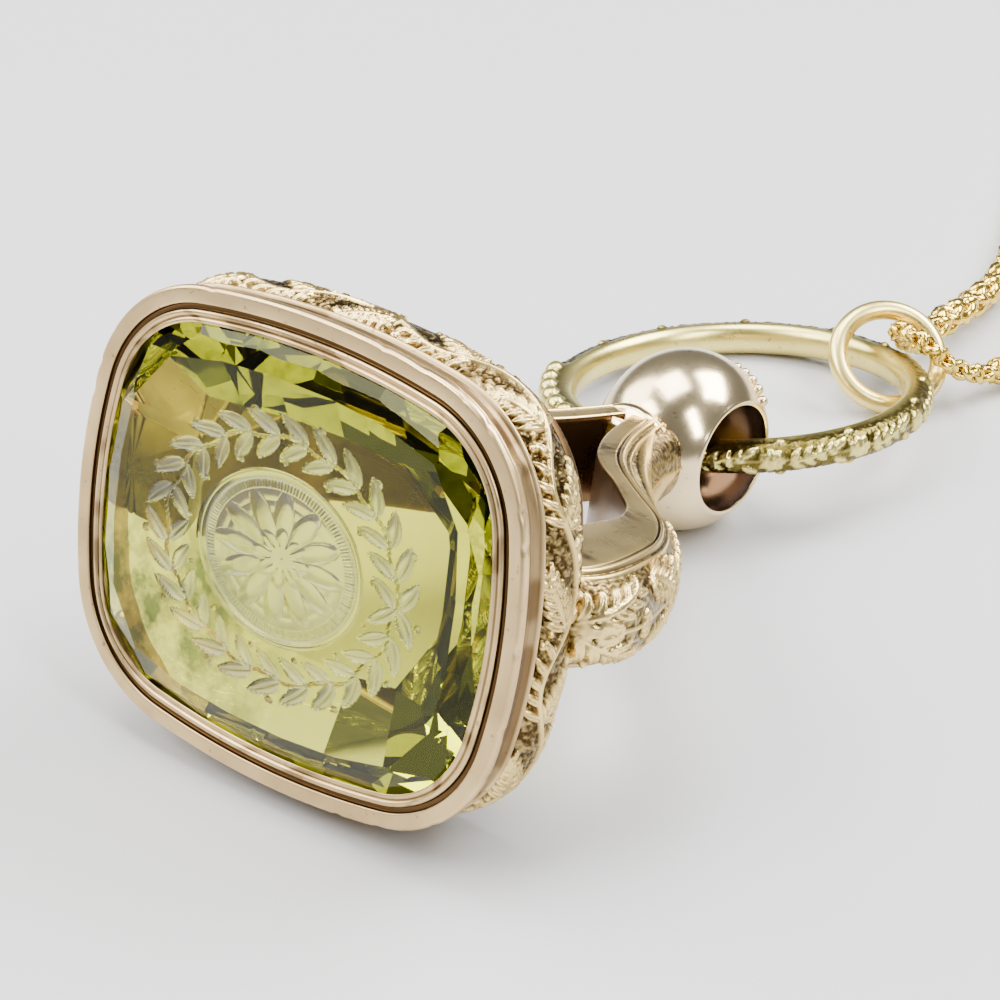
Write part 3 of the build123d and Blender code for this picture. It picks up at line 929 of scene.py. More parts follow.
    def bead_strip(self) -> bpy.types.Object:
        """The strip of small balls soldered along the hollow bead.

        Each ball is a sphere of latitude and longitude, set on the bead's side at the strip's turn.

        Returns:
            The strip.
        """
        centre = self.bead_seat + self.bead_radius
        turn = math.radians(self.strip_turn)
        out = np.array([0.0, math.cos(turn), math.sin(turn)])
        shells = []
        side_points, left_out = 61, 3
        side = self.bead_profile(0.0, side_points)[left_out:-left_out]
        axis = np.array([0.0, centre, 0.0])
        ball_rows, ball_columns = 12, 16
        latitude = np.linspace(-math.pi / 2, math.pi / 2, ball_rows)[1:-1, None]
        longitude = np.linspace(0, FULL_TURN, ball_columns, endpoint=False)[None, :]
        ball = np.stack([
            np.sin(latitude) + 0 * longitude,
            np.cos(latitude) * np.cos(longitude),
            np.cos(latitude) * np.sin(longitude),
        ], axis=-1) * self.strip_bead_radius
        for index in range(self.strip_beads):
            across = self.bead_half_length * (2 * (index + 0.5) / self.strip_beads - 1)
            distance = float(np.interp(across, side[:, 0], side[:, 1]))
            middle = axis + np.array([across, 0.0, 0.0]) + out * distance
            shells.append(grid_shell(self.seal.place(ball + middle), close_rows=False))
        return make_piece("bead_strip", shells)

    def collar(self) -> bpy.types.Object:
        """The turned collar between neck and bead: two rolls and a recess painted dark as shade.

        Returns:
            The collar.
        """
        radius = self.collar_radius
        corners = np.array([
            (-1.5, 0.3), (-1.5, 0.72 * radius), (-1.2, 0.86 * radius), (-0.9, 0.72 * radius),
            (-0.55, 0.72 * radius), (-0.25, 0.98 * radius), (0.15, radius), (0.5, 0.96 * radius),
            (1.2, 0.8 * radius), (1.2, 0.3),
        ])
        profile = soften(corners, reach=0.18, steps=5, closed=False)
        angle_points, recess, recess_size = 120, -0.72, 0.2
        grid = self.turned(profile, self.bead_seat, along=1, points=angle_points)
        # painted shade: the recess between the rolls is painted dark through the relief mask
        dark = np.exp(-(((profile[:, 0] - recess) / recess_size) ** 2))
        relief = np.broadcast_to(1 - 0.8 * dark, grid.shape[:2]).T.copy()
        tube = np.swapaxes(grid, 0, 1)
        return make_piece("neck_collar", [grid_shell(tube, close_rows=False, relief=relief)])

    def build(self) -> list[bpy.types.Object]:
        """Builds all pieces of the mount, from the face to the bead."""
        return [self.bezel(), self.ornament_band(), self.handle_arms(), self.hollow_bead(),
                self.bead_strip(), self.collar()]


@dataclass
class Citrine:
    """The cut stone: the CAD facets, and a table engraved with a generic wreath and rosette."""

    seal: SealFrame
    table_height: float = 0.66
    oval: tuple[float, float] = (9.3, 7.6)
    spokes: int = 620
    rings: int = 112
    depth: float = 0.2
    node_merge: float = 1e-6
    table_slack: float = 0.01

    def facets(self, node: bpy.types.Object) -> tuple[np.ndarray, np.ndarray, np.ndarray]:
        """Reads the CAD stone without its table.

        Args:
            node: The CAD stone.

        Returns:
            Its points in the seal's frame, its triangles, and the numbers of the points round the
            table, sorted by heading.
        """
        build = bmesh.new()
        build.from_mesh(node.data)
        bmesh.ops.remove_doubles(build, verts=build.verts, dist=self.node_merge)
        bmesh.ops.triangulate(build, faces=build.faces)
        build.verts.ensure_lookup_table()
        build.verts.index_update()
        points = np.array([vert.co[:] for vert in build.verts]) / METRE
        faces = np.array([[vert.index for vert in face.verts] for face in build.faces])
        build.free()
        local = self.seal.unplace(points)
        on_table = np.abs(local[:, 1] + self.table_height) < self.table_slack
        keep = ~on_table[faces].all(axis=1)
        around = np.flatnonzero(on_table)
        heading = np.arctan2(local[around, 2], local[around, 0])
        return local, faces[keep], around[np.argsort(heading)]

    def engraving(self, across: np.ndarray, up: np.ndarray) -> tuple[np.ndarray, np.ndarray]:
        """The cut design: a fluted rosette in a ring, and round it a wreath of leaves and berries.

        It is a function of the distance from the table's middle and the heading round it, with
        the table's oval drawn as a circle of radius 1.

        Args:
            across: Place across the table.
            up: Place up the table.

        Returns:
            The depth of the cut, 0 to 1, and how frosted the surface is, 0 to 1.
        """
        radius = np.hypot(across / self.oval[0], up / self.oval[1])
        heading = np.arctan2(up / self.oval[1], across / self.oval[0])
        scale, unrolled, middle, leaves, petals = 8.0, 0.74, 0.76, 26, 12
        round_way = unrolled * scale
        wreath = ReliefField(heading * round_way, (radius - middle) * scale, FULL_TURN * round_way)
        step = wreath.period / leaves
        wreath.stem(0.14 * np.sin(heading * 13), 0.16, 0.8)
        for index in range(leaves):
            way = 1 if index < leaves // 2 else -1
            start = index * step if way == 1 else (index + 1) * step
            for side in (-1, 1):
                turn = 38 * side if way == 1 else 180 - 38 * side
                wreath.leaf((start, 0.08 * side), turn, (1.75, 0.72), 0.7)
        for index in range(leaves):
            wreath.dome(((index + 0.72) * step, 1.15 if index % 2 else -1.15), 0.16)
        fold = np.abs(np.cos(heading * petals / 2))
        petal = smooth_step(0.0, 0.09, 0.44 * (0.62 + 0.38 * fold) - radius) * (0.45 + 0.55 * fold)
        inner = smooth_step(0.0, 0.05, 0.2 * (0.7 + 0.3 * np.abs(np.cos(heading * 4))) - radius)
        button = np.sqrt(np.clip(1 - (radius / 0.075) ** 2, 0, 1))
        ring = np.exp(-(((radius - 0.5) / 0.012) ** 2)) + np.exp(-(((radius - 0.535) / 0.008) ** 2))
        hatch_line = np.abs(np.sin(heading * 70))
        hatch = (radius > 0.43) & (radius < 0.492)
        fan = (radius < 0.425) & (petal < 0.02)
        depth = 0.75 * petal + 0.4 * inner + 0.5 * button + 0.55 * ring
        depth += 0.22 * hatch * hatch_line + 0.16 * fan * np.abs(np.sin(scale * 5.5 * radius))
        depth = np.maximum(np.clip(depth, 0, 1), wreath.height)
        disc = smooth_step(0, 0.01, 0.5 - radius)
        frost = np.clip(0.62 * disc + 0.9 * smooth_step(0.02, 0.3, wreath.height) + ring, 0, 1)
        return depth, frost

    def build(self, node: bpy.types.Object) -> bpy.types.Object:
        """Joins the facets, a plain margin and the engraved oval into one closed stone.

        The oval is a polar grid pushed back by the cut. Its outer ring is zipped to the table's
        edge: each ring step takes the nearest edge point, and each edge step the ring point where
        the nearest edge point changes.

        Args:
            node: The CAD stone.

        Returns:
            The stone.
        """
        local, facets, around = self.facets(node)
        share = np.linspace(0, 1, self.rings + 1)[1:, None]
        heading = np.linspace(-math.pi, math.pi, self.spokes, endpoint=False)[None, :]
        across = share * self.oval[0] * np.cos(heading)
        up = share * self.oval[1] * np.sin(heading)
        cut, frost = self.engraving(across, up)
        fade = smooth_step(0, 0.03, 1 - share)
        back = -self.table_height + self.depth * cut * fade
        oval = np.stack([across, back, up], axis=-1).reshape(-1, 3)
        middle_cut, middle_frost = 0.5, 0.6
        middle = np.array([[0.0, -self.table_height + self.depth * middle_cut, 0.0]])
        start = len(local)
        points = np.concatenate([local, oval, middle])
        quads = grid_faces(self.rings, self.spokes, close_rows=False, close_columns=True) + start
        halves = np.concatenate([quads[:, [0, 1, 2]], quads[:, [0, 2, 3]]])
        spoke = np.arange(self.spokes)
        hub = np.full(self.spokes, start + len(oval))
        fan = np.stack([hub, start + spoke, start + (spoke + 1) % self.spokes], axis=-1)
        ring = start + (self.rings - 1) * self.spokes + spoke
        edge_heading = np.arctan2(local[around, 2], local[around, 0])
        gap = np.angle(np.exp(1j * (heading.T - edge_heading[None, :])))
        nearest = np.abs(gap).argmin(axis=1)
        next_spoke = (spoke + 1) % self.spokes
        margin = np.stack([ring, around[nearest], ring[next_spoke]], axis=-1)
        change = np.flatnonzero(nearest != nearest[next_spoke])
        turns = np.stack([ring[next_spoke][change], around[nearest[change]],
                          around[nearest[next_spoke][change]]], axis=-1)
        faces = np.concatenate([facets, halves, fan, margin, turns])
        frosted = np.concatenate([np.zeros(start), (frost * fade).ravel(), [middle_frost]])
        raised = np.concatenate([np.ones(start), 1 - cut.ravel(), [1 - middle_cut]])
        shell = Shell(self.seal.place(points), faces, raised, frosted)
        return self.faced_outwards(make_piece("citrine_stone", [shell], Shading.FLAT))

    @staticmethod
    def faced_outwards(piece: bpy.types.Object) -> bpy.types.Object:
        """Points all faces outwards.

        Args:
            piece: A closed piece.

        Returns:
            The same piece.
        """
        build = bmesh.new()
        build.from_mesh(piece.data)
        bmesh.ops.recalc_face_normals(build, faces=build.faces)
        build.to_mesh(piece.data)
        build.free()
        return piece


@dataclass
class RingPose:
    """Centre, axis and first direction of a ring, found from its CAD node."""

    centre: np.ndarray
    axis: np.ndarray
    first: np.ndarray

    @classmethod
    def from_node(cls, node: bpy.types.Object, towards: np.ndarray, flank: float) -> "RingPose":
        """Fits a plane and a circle to a ring's points.

        The axis is the direction in which the points spread least. The centre solves, in that
        plane, x^2 + y^2 = 2ax + 2by + c for the points whose height is over flank.

        Args:
            node: The CAD ring.
            towards: Point that the first direction looks to.
            flank: Least height of the points that the circle is fitted to.

        Returns:
            The ring's pose in millimetres.
        """
        points = np.empty(len(node.data.vertices) * 3)
        node.data.vertices.foreach_get("co", points)
        points = np.unique(points.reshape(-1, 3).round(7), axis=0) / METRE
        middle = points.mean(axis=0)
        axes = np.linalg.svd(points - middle, full_matrices=False)[2]
        axis = axes[2] * np.sign(axes[2][2])
        height = (points - middle) @ axis
        level = (height.max() + height.min()) / 2
        kept = points[np.abs(height - level) >= flank]
        flat = (kept - middle) @ axes[:2].T
        system = np.column_stack([2 * flat, np.ones(len(flat))])
        answer = np.linalg.lstsq(system, (flat**2).sum(axis=1), rcond=None)[0]
        centre = middle + answer[:2] @ axes[:2] + level * axis
        first = towards - centre
        first = first - axis * float(first @ axis)
        return cls(centre, axis, first / np.linalg.norm(first))

    def torus(self, angle: np.ndarray, radial: np.ndarray, lift: np.ndarray) -> np.ndarray:
        """Points round the ring: centre + radial * direction at the angle + lift * axis.

        Args:
            angle: Angle from the first direction, in radians.
            radial: Distance from the centre.
            lift: Height over the ring's plane.

        Returns:
            Points (x, y, z) of the part.
        """
        second = np.cross(self.axis, self.first)
        way = np.cos(angle)[..., None] * self.first + np.sin(angle)[..., None] * second
        return self.centre + radial[..., None] * way + lift[..., None] * self.axis


@dataclass
class SplitRing:
    """The chased ring: plain inside, scrolls, flowers and knobs on its outer side."""

    radius: float = 9.72
    half_thick: float = 0.87
    half_tall: float = 0.93
    relief: float = 0.17
    relief_level: float = 0.6
    units: int = 13
    knob_heading: float = -52.0
    knob_spread: float = 34.0
    knob_fade: float = 6.0
    knob_pitch: float = 1.3
    knob_radius: float = 0.62
    knob_rise: float = 0.75

    def ornament(self, along: np.ndarray, across: np.ndarray, period: float) -> ReliefField:
        """Chasing of the outer side: in each unit a flower, a leaf spray and dots.

        Args:
            along: Distance round the ring.
            across: Distance across the outer side from its middle.
            period: Length of the ring.

        Returns:
            The relief field of the ring.
        """
        strip = ReliefField(along, across, period)
        step = period / self.units
        for index in range(self.units):
            base = index * step
            strip.flower((base, 0.0), 0.72, 7)
            strip.spray((base + 0.8, -0.2), 12, 2.6, 4, (0.95, 0.42))
            for side in (-1, 1):
                strip.leaf((base + 3.2, 0.2 * side), 40 * side, (1.1, 0.5), 0.4)
                strip.dome((base + 0.2 + 0.7 * math.sin(9 * index), 1.2 * side), 0.28)
        return strip

    def build(self, pose: RingPose) -> bpy.types.Object:
        """The ring: a squarish round section carried round a circle, raised on its outer side.

        The section is a circle whose cosine and sine are taken to a power under 1. Over the knobs'
        stretch, the chasing gives way to a row of half balls.

        Args:
            pose: Where the ring lies.

        Returns:
            The ring.
        """
        rows, columns, square, knob_height = 900, 56, 0.86, 0.48
        angle = np.linspace(0, FULL_TURN, rows, endpoint=False)
        section = np.linspace(0, FULL_TURN, columns, endpoint=False)
        turn, around = np.meshgrid(angle, section, indexing="ij")
        signed = np.angle(np.exp(1j * around))
        period = FULL_TURN * self.radius
        strip = self.ornament(turn * self.radius, signed * self.half_tall, period)
        away = np.degrees(np.angle(np.exp(1j * (turn - math.radians(self.knob_heading)))))
        knobs = smooth_step(self.knob_spread + self.knob_fade, self.knob_spread, np.abs(away))
        knob_count = round(period / self.knob_pitch)
        from_knob = (turn * knob_count / FULL_TURN + 0.5) % 1 - 0.5
        from_row = (signed - self.knob_rise) * self.half_tall
        reach = np.hypot(from_knob * period / knob_count, from_row) / self.knob_radius
        round_knob = np.sqrt(np.clip(1 - reach**2, 0, 1))
        outer = smooth_step(-0.35, 0.15, np.cos(around))
        grain = strip.matted(0.16, 0.035, seed=51)
        height = (self.relief * (strip.height - self.relief_level) + grain) * outer
        height = height * (1 - knobs) + knobs * outer * knob_height * round_knob
        radial = np.sign(np.cos(around)) * np.abs(np.cos(around)) ** square * self.half_thick
        lift = np.sign(np.sin(around)) * np.abs(np.sin(around)) ** square * self.half_tall
        radial = self.radius + radial + height * np.cos(around)
        lift = lift + height * np.sin(around)
        # painted shade: the ground between the chasing and the gaps between the knobs are painted dark
        mask = smooth_step(-0.05, 0.6, strip.height + 3 * grain)
        relief = 1 - outer * (1 - mask) * (1 - knobs) - 0.7 * knobs * outer * (1 - round_knob)
        points = pose.torus(turn, radial, lift)
        return make_piece("chased_ring", [grid_shell(points, close_rows=True, relief=relief)])


@dataclass
class JumpRing:
    """The plain round wire ring, with its soldered joint."""

    radius: float = 2.85
    wire: float = 0.54
    joint_turn: float = 2.4
    notch_turn: float = 2.28

    def build(self, pose: RingPose) -> bpy.types.Object:
        """The ring: a circle carried round a circle, fuller at its joint by a narrow bell curve.

        A narrower bell curve beside it thins the wire a little, where the joint was filed.

        Args:
            pose: Where the ring lies.

        Returns:
            The ring.
        """
        rows, columns = 180, 40
        angle = np.linspace(0, FULL_TURN, rows, endpoint=False)
        section = np.linspace(0, FULL_TURN, columns, endpoint=False)
        turn, around = np.meshgrid(angle, section, indexing="ij")
        joint = np.exp(-(((turn - self.joint_turn) / 0.05) ** 2))
        notch = np.exp(-(((turn - self.notch_turn) / 0.03) ** 2))
        wire = self.wire * (1 + 0.03 * joint - 0.02 * notch)
        radial = self.radius + wire * np.cos(around)
        points = pose.torus(turn, radial, wire * np.sin(around))
        return make_piece("jump_wire_ring", [grid_shell(points, close_rows=True)])


@dataclass
class RopeChain:
    """The rope chain: small round links, tilted to and fro and turned step by step."""

    link_radius: float = 0.59
    link_wire: float = 0.35
    link_sides: int = 12
    wire_sides: int = 5
    pitch: float = 0.38
    tilt: float = 64.0
    turn_length: float = 2.9
    hitch_scale: float = 0.66
    hitch_place: float = 48.8
    hitch_length: float = 3.2
    route: tuple = (
        (-1.4, 255, 1.7), (-8.5, 253.8, 1.2), (-17.5, 247, 0.95), (-28, 228, 0.95),
        (-35, 198, 0.95), (-37, 166, 0.95), (-32, 134, 0.95), (-22, 105, 0.95),
        (-9.5, 81, 0.95), (-0.6, 63, 0.95), (0.2, 57.5, 1.2), (0.3, 53.8, 1.6),
        (0.5, 50.76, 1.3), (1.0, 48.06, 4.12), (3.4, 47.7, 4.1), (4.8, 48.9, 2.1),
        (5.5, 51.5, 1.0), (7.0, 57.0, 0.95), (12, 69, 0.95), (22, 90, 0.95),
        (33, 117, 0.95), (41, 150, 0.95), (43, 182, 0.95), (38, 214, 0.95),
        (28, 240, 0.95), (17, 252.3, 1.1), (7.4, 255, 1.7),
    )

    def path(self) -> tuple[np.ndarray, np.ndarray]:
        """The chain's line: a parabola at each route point, from the middle of one run to the next.

        With t the share of the way, a bend is (1 - t)^2 start + 2 t (1 - t) corner + t^2 end.

        Returns:
            Dense points, and each one's distance along the line.
        """
        corners = np.array(self.route, dtype=float)
        middles = (corners[:-1] + corners[1:]) / 2
        starts, ends = middles[:-1].copy(), middles[1:].copy()
        starts[0], ends[-1] = corners[0], corners[-1]
        bend_steps = 120
        t = np.linspace(0, 1, bend_steps, endpoint=False)[None, :, None]
        bends = (1 - t) ** 2 * starts[:, None] + 2 * t * (1 - t) * corners[1:-1, None]
        bends = bends + t**2 * ends[:, None]
        line = np.concatenate([bends.reshape(-1, 3), corners[-1:]])
        steps = np.linalg.norm(np.diff(line, axis=0), axis=1)
        return line, np.r_[0, np.cumsum(steps)]

    def build(self) -> bpy.types.Object:
        """All links as one array: link, place round the link, place round its wire.

        A link's circle lies in the plane of side and forward. side turns about the chain's line
        with the distance along it, and forward leans from the line by the tilt, to and fro. A flat
        bell curve makes the links smaller where the chain passes through the jump ring.

        Returns:
            The chain.
        """
        line, length = self.path()
        count = int(length[-1] / self.pitch)
        distance = (np.arange(count) + 0.5) * length[-1] / count
        reach_on = 0.3
        centre, ahead, behind = (
            np.stack([np.interp(place, length, line[:, k]) for k in range(3)], axis=-1)
            for place in (distance, distance + reach_on, distance - reach_on)
        )
        tangent = ahead - behind
        tangent /= np.linalg.norm(tangent, axis=1, keepdims=True)
        level = np.cross(tangent, [0.0, 0.0, 1.0])
        level /= np.linalg.norm(level, axis=1, keepdims=True)
        rising = np.cross(level, tangent)
        turn = (FULL_TURN * distance / self.turn_length)[:, None]
        side = np.cos(turn) * level + np.sin(turn) * rising
        aside = np.cos(turn) * rising - np.sin(turn) * level
        lean = math.radians(90 - self.tilt) * np.where(np.arange(count) % 2, 1, -1)[:, None]
        forward = np.sin(np.abs(lean)) * aside * np.sign(lean) + np.cos(lean) * tangent
        normal = np.cross(side, forward)
        hitch = np.exp(-(((centre[:, 1] - self.hitch_place) / self.hitch_length) ** 4))
        scale = (1 - (1 - self.hitch_scale) * hitch)[:, None, None, None]
        angle = np.linspace(0, FULL_TURN, self.link_sides, endpoint=False)[None, :, None, None]
        around = np.linspace(0, FULL_TURN, self.wire_sides, endpoint=False)[None, None, :, None]
        way = np.cos(angle) * side[:, None, None] + np.sin(angle) * forward[:, None, None]
        reach = self.link_radius + self.link_wire * np.cos(around)
        offset = reach * way + self.link_wire * np.sin(around) * normal[:, None, None]
        points = centre[:, None, None] + scale * offset
        first = (np.arange(count) * self.link_sides * self.wire_sides)[:, None, None]
        quads = grid_faces(self.link_sides, self.wire_sides, close_rows=True, close_columns=True)
        quads = quads[None] + first
        flat = points.reshape(-1, 3)
        # painted shade: the inner side of each link's wire is painted darker through the relief mask
        shade = np.broadcast_to(0.5 + 0.5 * np.cos(around[..., 0]), points.shape[:3]).ravel()
        shell = Shell(flat, quads.reshape(-1, 4), shade, np.zeros(len(flat))).outward()
        return make_piece("rope_chain", [shell])


class Graph:
    """Adds nodes to a node tree and links them."""

    def __init__(self, tree: bpy.types.NodeTree) -> None:
        """Empties the tree."""
        self.tree = tree
        tree.nodes.clear()

    def add(self, kind: str, values: dict | None = None, **settings: object) -> bpy.types.Node:
        """Adds a node.

        Args:
            kind: Blender's name of the node type.
            values: Input values or source sockets, by input name or number.
            **settings: Properties of the node.

        Returns:
            The node.
        """
        node = self.tree.nodes.new(kind)
        for name, value in settings.items():
            setattr(node, name, value)
        for key, value in (values or {}).items():
            if isinstance(value, bpy.types.NodeSocket):
                self.tree.links.new(value, node.inputs[key])
            else:
                node.inputs[key].default_value = value
        return node

    def mix(self, share: object, first: object, second: object) -> bpy.types.NodeSocket:
        """Mixes two colours.

        Args:
            share: Share of the second one, a number or a socket.
            first: First colour, or its socket.
            second: Second colour, or its socket.

        Returns:
            The mixed colour's socket.
        """
        node = self.add("ShaderNodeMix", data_type="RGBA")
        for number, value in ((0, share), (6, first), (7, second)):
            if isinstance(value, bpy.types.NodeSocket):
                self.tree.links.new(value, node.inputs[number])
            else:
                node.inputs[number].default_value = value
        return node.outputs[2]

    def ramp(self, source: bpy.types.NodeSocket, low: float, high: float, start: float = 0.0,
             end: float = 1.0) -> bpy.types.NodeSocket:
        """Maps the source's range low to high onto start to end, without going past them."""
        node = self.add("ShaderNodeMapRange", {0: source, 1: low, 2: high, 3: start, 4: end})
        return node.outputs[0]


def effect_group(name: str, inputs: list[tuple], outputs: list[tuple]) -> tuple[bpy.types.NodeTree, Graph]:
    """Makes an empty shader node group with named sockets.

    Args:
        name: Name of the group.
        inputs: Name, socket type and default of each input.
        outputs: Name and socket type of each output.

    Returns:
        The group and a graph that fills it.
    """
    tree = bpy.data.node_groups.new(name, "ShaderNodeTree")
    for label, kind, default in inputs:
        tree.interface.new_socket(label, in_out="INPUT", socket_type=kind).default_value = default
    for label, kind in outputs:
        tree.interface.new_socket(label, in_out="OUTPUT", socket_type=kind)
    return tree, Graph(tree)


def worn_shaded_gold_group() -> bpy.types.NodeTree:
    """Gold wear and painted shade: recesses are painted dark as shade, patches vary in tone and gloss,
    and fine scratches catch light.

    Returns:
        A group that puts out colour, roughness and the height of a bump.
    """
    tree, graph = effect_group(
        "worn_shaded_gold",
        [
            ("Bright", "NodeSocketColor", (1, 1, 1, 1)),
            ("Deep", "NodeSocketColor", (0, 0, 0, 1)),
            ("StainShade", "NodeSocketColor", (0, 0, 0, 1)),
            ("Relief", "NodeSocketFloat", 1.0),
            ("StainShadeShare", "NodeSocketFloat", 0.0),
            ("Roughness", "NodeSocketFloat", 0.3),
            ("Patches", "NodeSocketFloat", 0.3),
            ("Scratches", "NodeSocketFloat", 0.3),
        ],
        [
            ("Color", "NodeSocketColor"),
            ("Roughness", "NodeSocketFloat"),
            ("Height", "NodeSocketFloat"),
        ],
    )
    patch_depth, patch_roughness, scratch_roughness, speck_height = 0.55, 0.35, 0.12, 0.5
    source = graph.add("NodeGroupInput").outputs
    place = graph.add("ShaderNodeTexCoord").outputs["Object"]
    cloud = graph.add("ShaderNodeTexNoise", {"Vector": place, "Scale": 260.0, "Detail": 4.0}).outputs[0]
    speck = graph.add("ShaderNodeTexNoise", {"Vector": place, "Scale": 2600.0, "Detail": 3.0}).outputs[0]
    stretch = graph.add("ShaderNodeMapping", {"Vector": place, "Scale": (2500.0, 9000.0, 5000.0)})
    lines = graph.add("ShaderNodeTexNoise", {"Vector": stretch.outputs[0], "Scale": 1.0, "Detail": 2.0})
    # painted shade: the deep colour fills the recesses where relief is low, and the second mix paints
    # stains and shade in their own colour
    metal = graph.mix(source["Relief"], source["Deep"], source["Bright"])
    metal = graph.mix(source["StainShadeShare"], metal, source["StainShade"])
    tone = graph.add("ShaderNodeMath", {0: graph.ramp(cloud, 0.35, 0.7), 1: source["Patches"]},
                     operation="MULTIPLY").outputs[0]
    toned = graph.mix(tone, metal, graph.mix(patch_depth, metal, source["Deep"]))
    dots = graph.ramp(speck, 0.66, 0.73, 0.0, 0.5)
    colour = graph.mix(dots, toned, source["Deep"])
    rough = graph.add("ShaderNodeMath", {0: tone, 1: patch_roughness, 2: source["Roughness"]},
                      operation="MULTIPLY_ADD").outputs[0]
    scratch = graph.add("ShaderNodeMath", {0: lines.outputs[0], 1: source["Scratches"]},
                        operation="MULTIPLY").outputs[0]
    rougher = graph.add("ShaderNodeMath", {0: scratch, 1: scratch_roughness, 2: rough},
                        operation="MULTIPLY_ADD")
    height = graph.add("ShaderNodeMath", {0: speck, 1: speck_height, 2: scratch},
                       operation="MULTIPLY_ADD")
    graph.add("NodeGroupOutput", {"Color": colour, "Roughness": rougher.outputs[0],
                                  "Height": height.outputs[0]})
    return tree


@dataclass(frozen=True)
class GoldFinish:
    """One gold alloy as it is finished and shows wear, with the colours of its painted shade."""

    name: str
    bright: tuple[float, float, float]
    deep: tuple[float, float, float]
    stain_shade_frost: tuple[float, float, float] = (0.3, 0.14, 0.06)
    roughness: float = 0.25
    patches: float = 0.4
    scratches: float = 0.5
    bump: float = 0.12
    carved: bool = True

    def material(self, group: bpy.types.NodeTree) -> bpy.types.Material:
        """Builds the material: the group of gold wear and painted shade, with this alloy's values, into a
        metal shader.

        Args:
            group: The group of gold wear and painted shade.

        Returns:
            The material.
        """
        material = bpy.data.materials.new(self.name)
        material.use_nodes = True
        graph = Graph(material.node_tree)
        gold = graph.add("ShaderNodeGroup", node_tree=group)
        settings = {
            "Bright": (*self.bright, 1), "Deep": (*self.deep, 1), "StainShade": (*self.stain_shade_frost, 1),
            "Roughness": self.roughness, "Patches": self.patches, "Scratches": self.scratches,
        }
        for label, value in settings.items():
            gold.inputs[label].default_value = value
        if self.carved:
            for label, mask in (("Relief", "relief"), ("StainShadeShare", "stain_shade_frost")):
                read = graph.add("ShaderNodeAttribute", attribute_name=mask)
                graph.tree.links.new(read.outputs["Fac"], gold.inputs[label])
        bump = graph.add("ShaderNodeBump", {"Height": gold.outputs["Height"], "Strength": self.bump,
                                            "Distance": BUMP_HEIGHT})
        shader = graph.add("ShaderNodeBsdfPrincipled", {
            "Base Color": gold.outputs["Color"], "Roughness": gold.outputs["Roughness"],
            "Normal": bump.outputs[0], "Metallic": 1.0,
        })
        graph.add("ShaderNodeOutputMaterial", {"Surface": shader.outputs[0]})
        return material


@dataclass(frozen=True)
class StoneFinish:
    """Citrine: clear greenish yellow glass with cloudy inclusions and a frosted engraving."""

    name: str = "citrine_glass"
    clear: tuple[float, float, float] = (0.77, 0.75, 0.15)
    cloudy: tuple[float, float, float] = (0.05, 0.08, 0.015)
    frosting: tuple[float, float, float] = (0.74, 0.77, 0.33)
    depth_colour: tuple[float, float, float] = (0.8, 0.82, 0.1)
    density: float = 160.0
    index: float = 1.55
    sheen: tuple[float, float, float] = (0.5, 0.52, 0.25)
    frost_roughness: float = 0.34
    frost_tint: float = 0.7
    frost_gloss: float = 0.6
    frost_index: float = 2.0
    cloud_edge: float = 0.0105
    cloud_core: float = 0.004
    cloud_middle: tuple[float, float, float] = (-0.008, 0.0, 0.0065)

    def material(self) -> bpy.types.Material:
        """Builds the material: a glass shader with absorption in its depth.

        Clouds near one corner tint the surface. The frosted cuts are rougher and paler, with fine
        grain and a rough coat.

        Returns:
            The material.
        """
        material = bpy.data.materials.new(self.name)
        material.use_nodes = True
        graph = Graph(material.node_tree)
        place = graph.add("ShaderNodeTexCoord").outputs["Object"]
        cloud = graph.add("ShaderNodeTexNoise", {"Vector": place, "Scale": 420.0, "Detail": 6.0,
                                                 "Roughness": 0.62}).outputs[0]
        away = graph.add("ShaderNodeVectorMath", {0: place, 1: self.cloud_middle}, operation="DISTANCE")
        near = graph.ramp(away.outputs["Value"], self.cloud_edge, self.cloud_core)
        clump = graph.add("ShaderNodeMath", {0: graph.ramp(cloud, 0.44, 0.62), 1: near},
                          operation="MULTIPLY").outputs[0]
        colour = graph.mix(clump, (*self.clear, 1), (*self.cloudy, 1))
        frost = graph.add("ShaderNodeAttribute", attribute_name="stain_shade_frost").outputs["Fac"]
        colour = graph.mix(graph.ramp(frost, 0.0, 1.0, 0.0, self.frost_tint), colour, (*self.frosting, 1))
        rough = graph.ramp(frost, 0.0, 1.0, 0.0, self.frost_roughness)
        grain = graph.add("ShaderNodeTexNoise", {"Vector": place, "Scale": 5200.0, "Detail": 2.0})
        height = graph.add("ShaderNodeMath", {0: grain.outputs[0], 1: frost}, operation="MULTIPLY")
        bump = graph.add("ShaderNodeBump", {"Height": height.outputs[0], "Strength": 0.35,
                                            "Distance": BUMP_HEIGHT})
        shader = graph.add("ShaderNodeBsdfPrincipled", {
            "Base Color": colour, "Roughness": rough, "Normal": bump.outputs[0],
            "Transmission Weight": 1.0, "IOR": self.index, "Specular Tint": (*self.sheen, 1),
            "Coat Weight": frost, "Coat Roughness": self.frost_gloss, "Coat IOR": self.frost_index,
        })
        depth = graph.add("ShaderNodeVolumeAbsorption", {"Color": (*self.depth_colour, 1),
                                                         "Density": self.density})
        graph.add("ShaderNodeOutputMaterial", {"Surface": shader.outputs[0], "Volume": depth.outputs[0]})
        return material


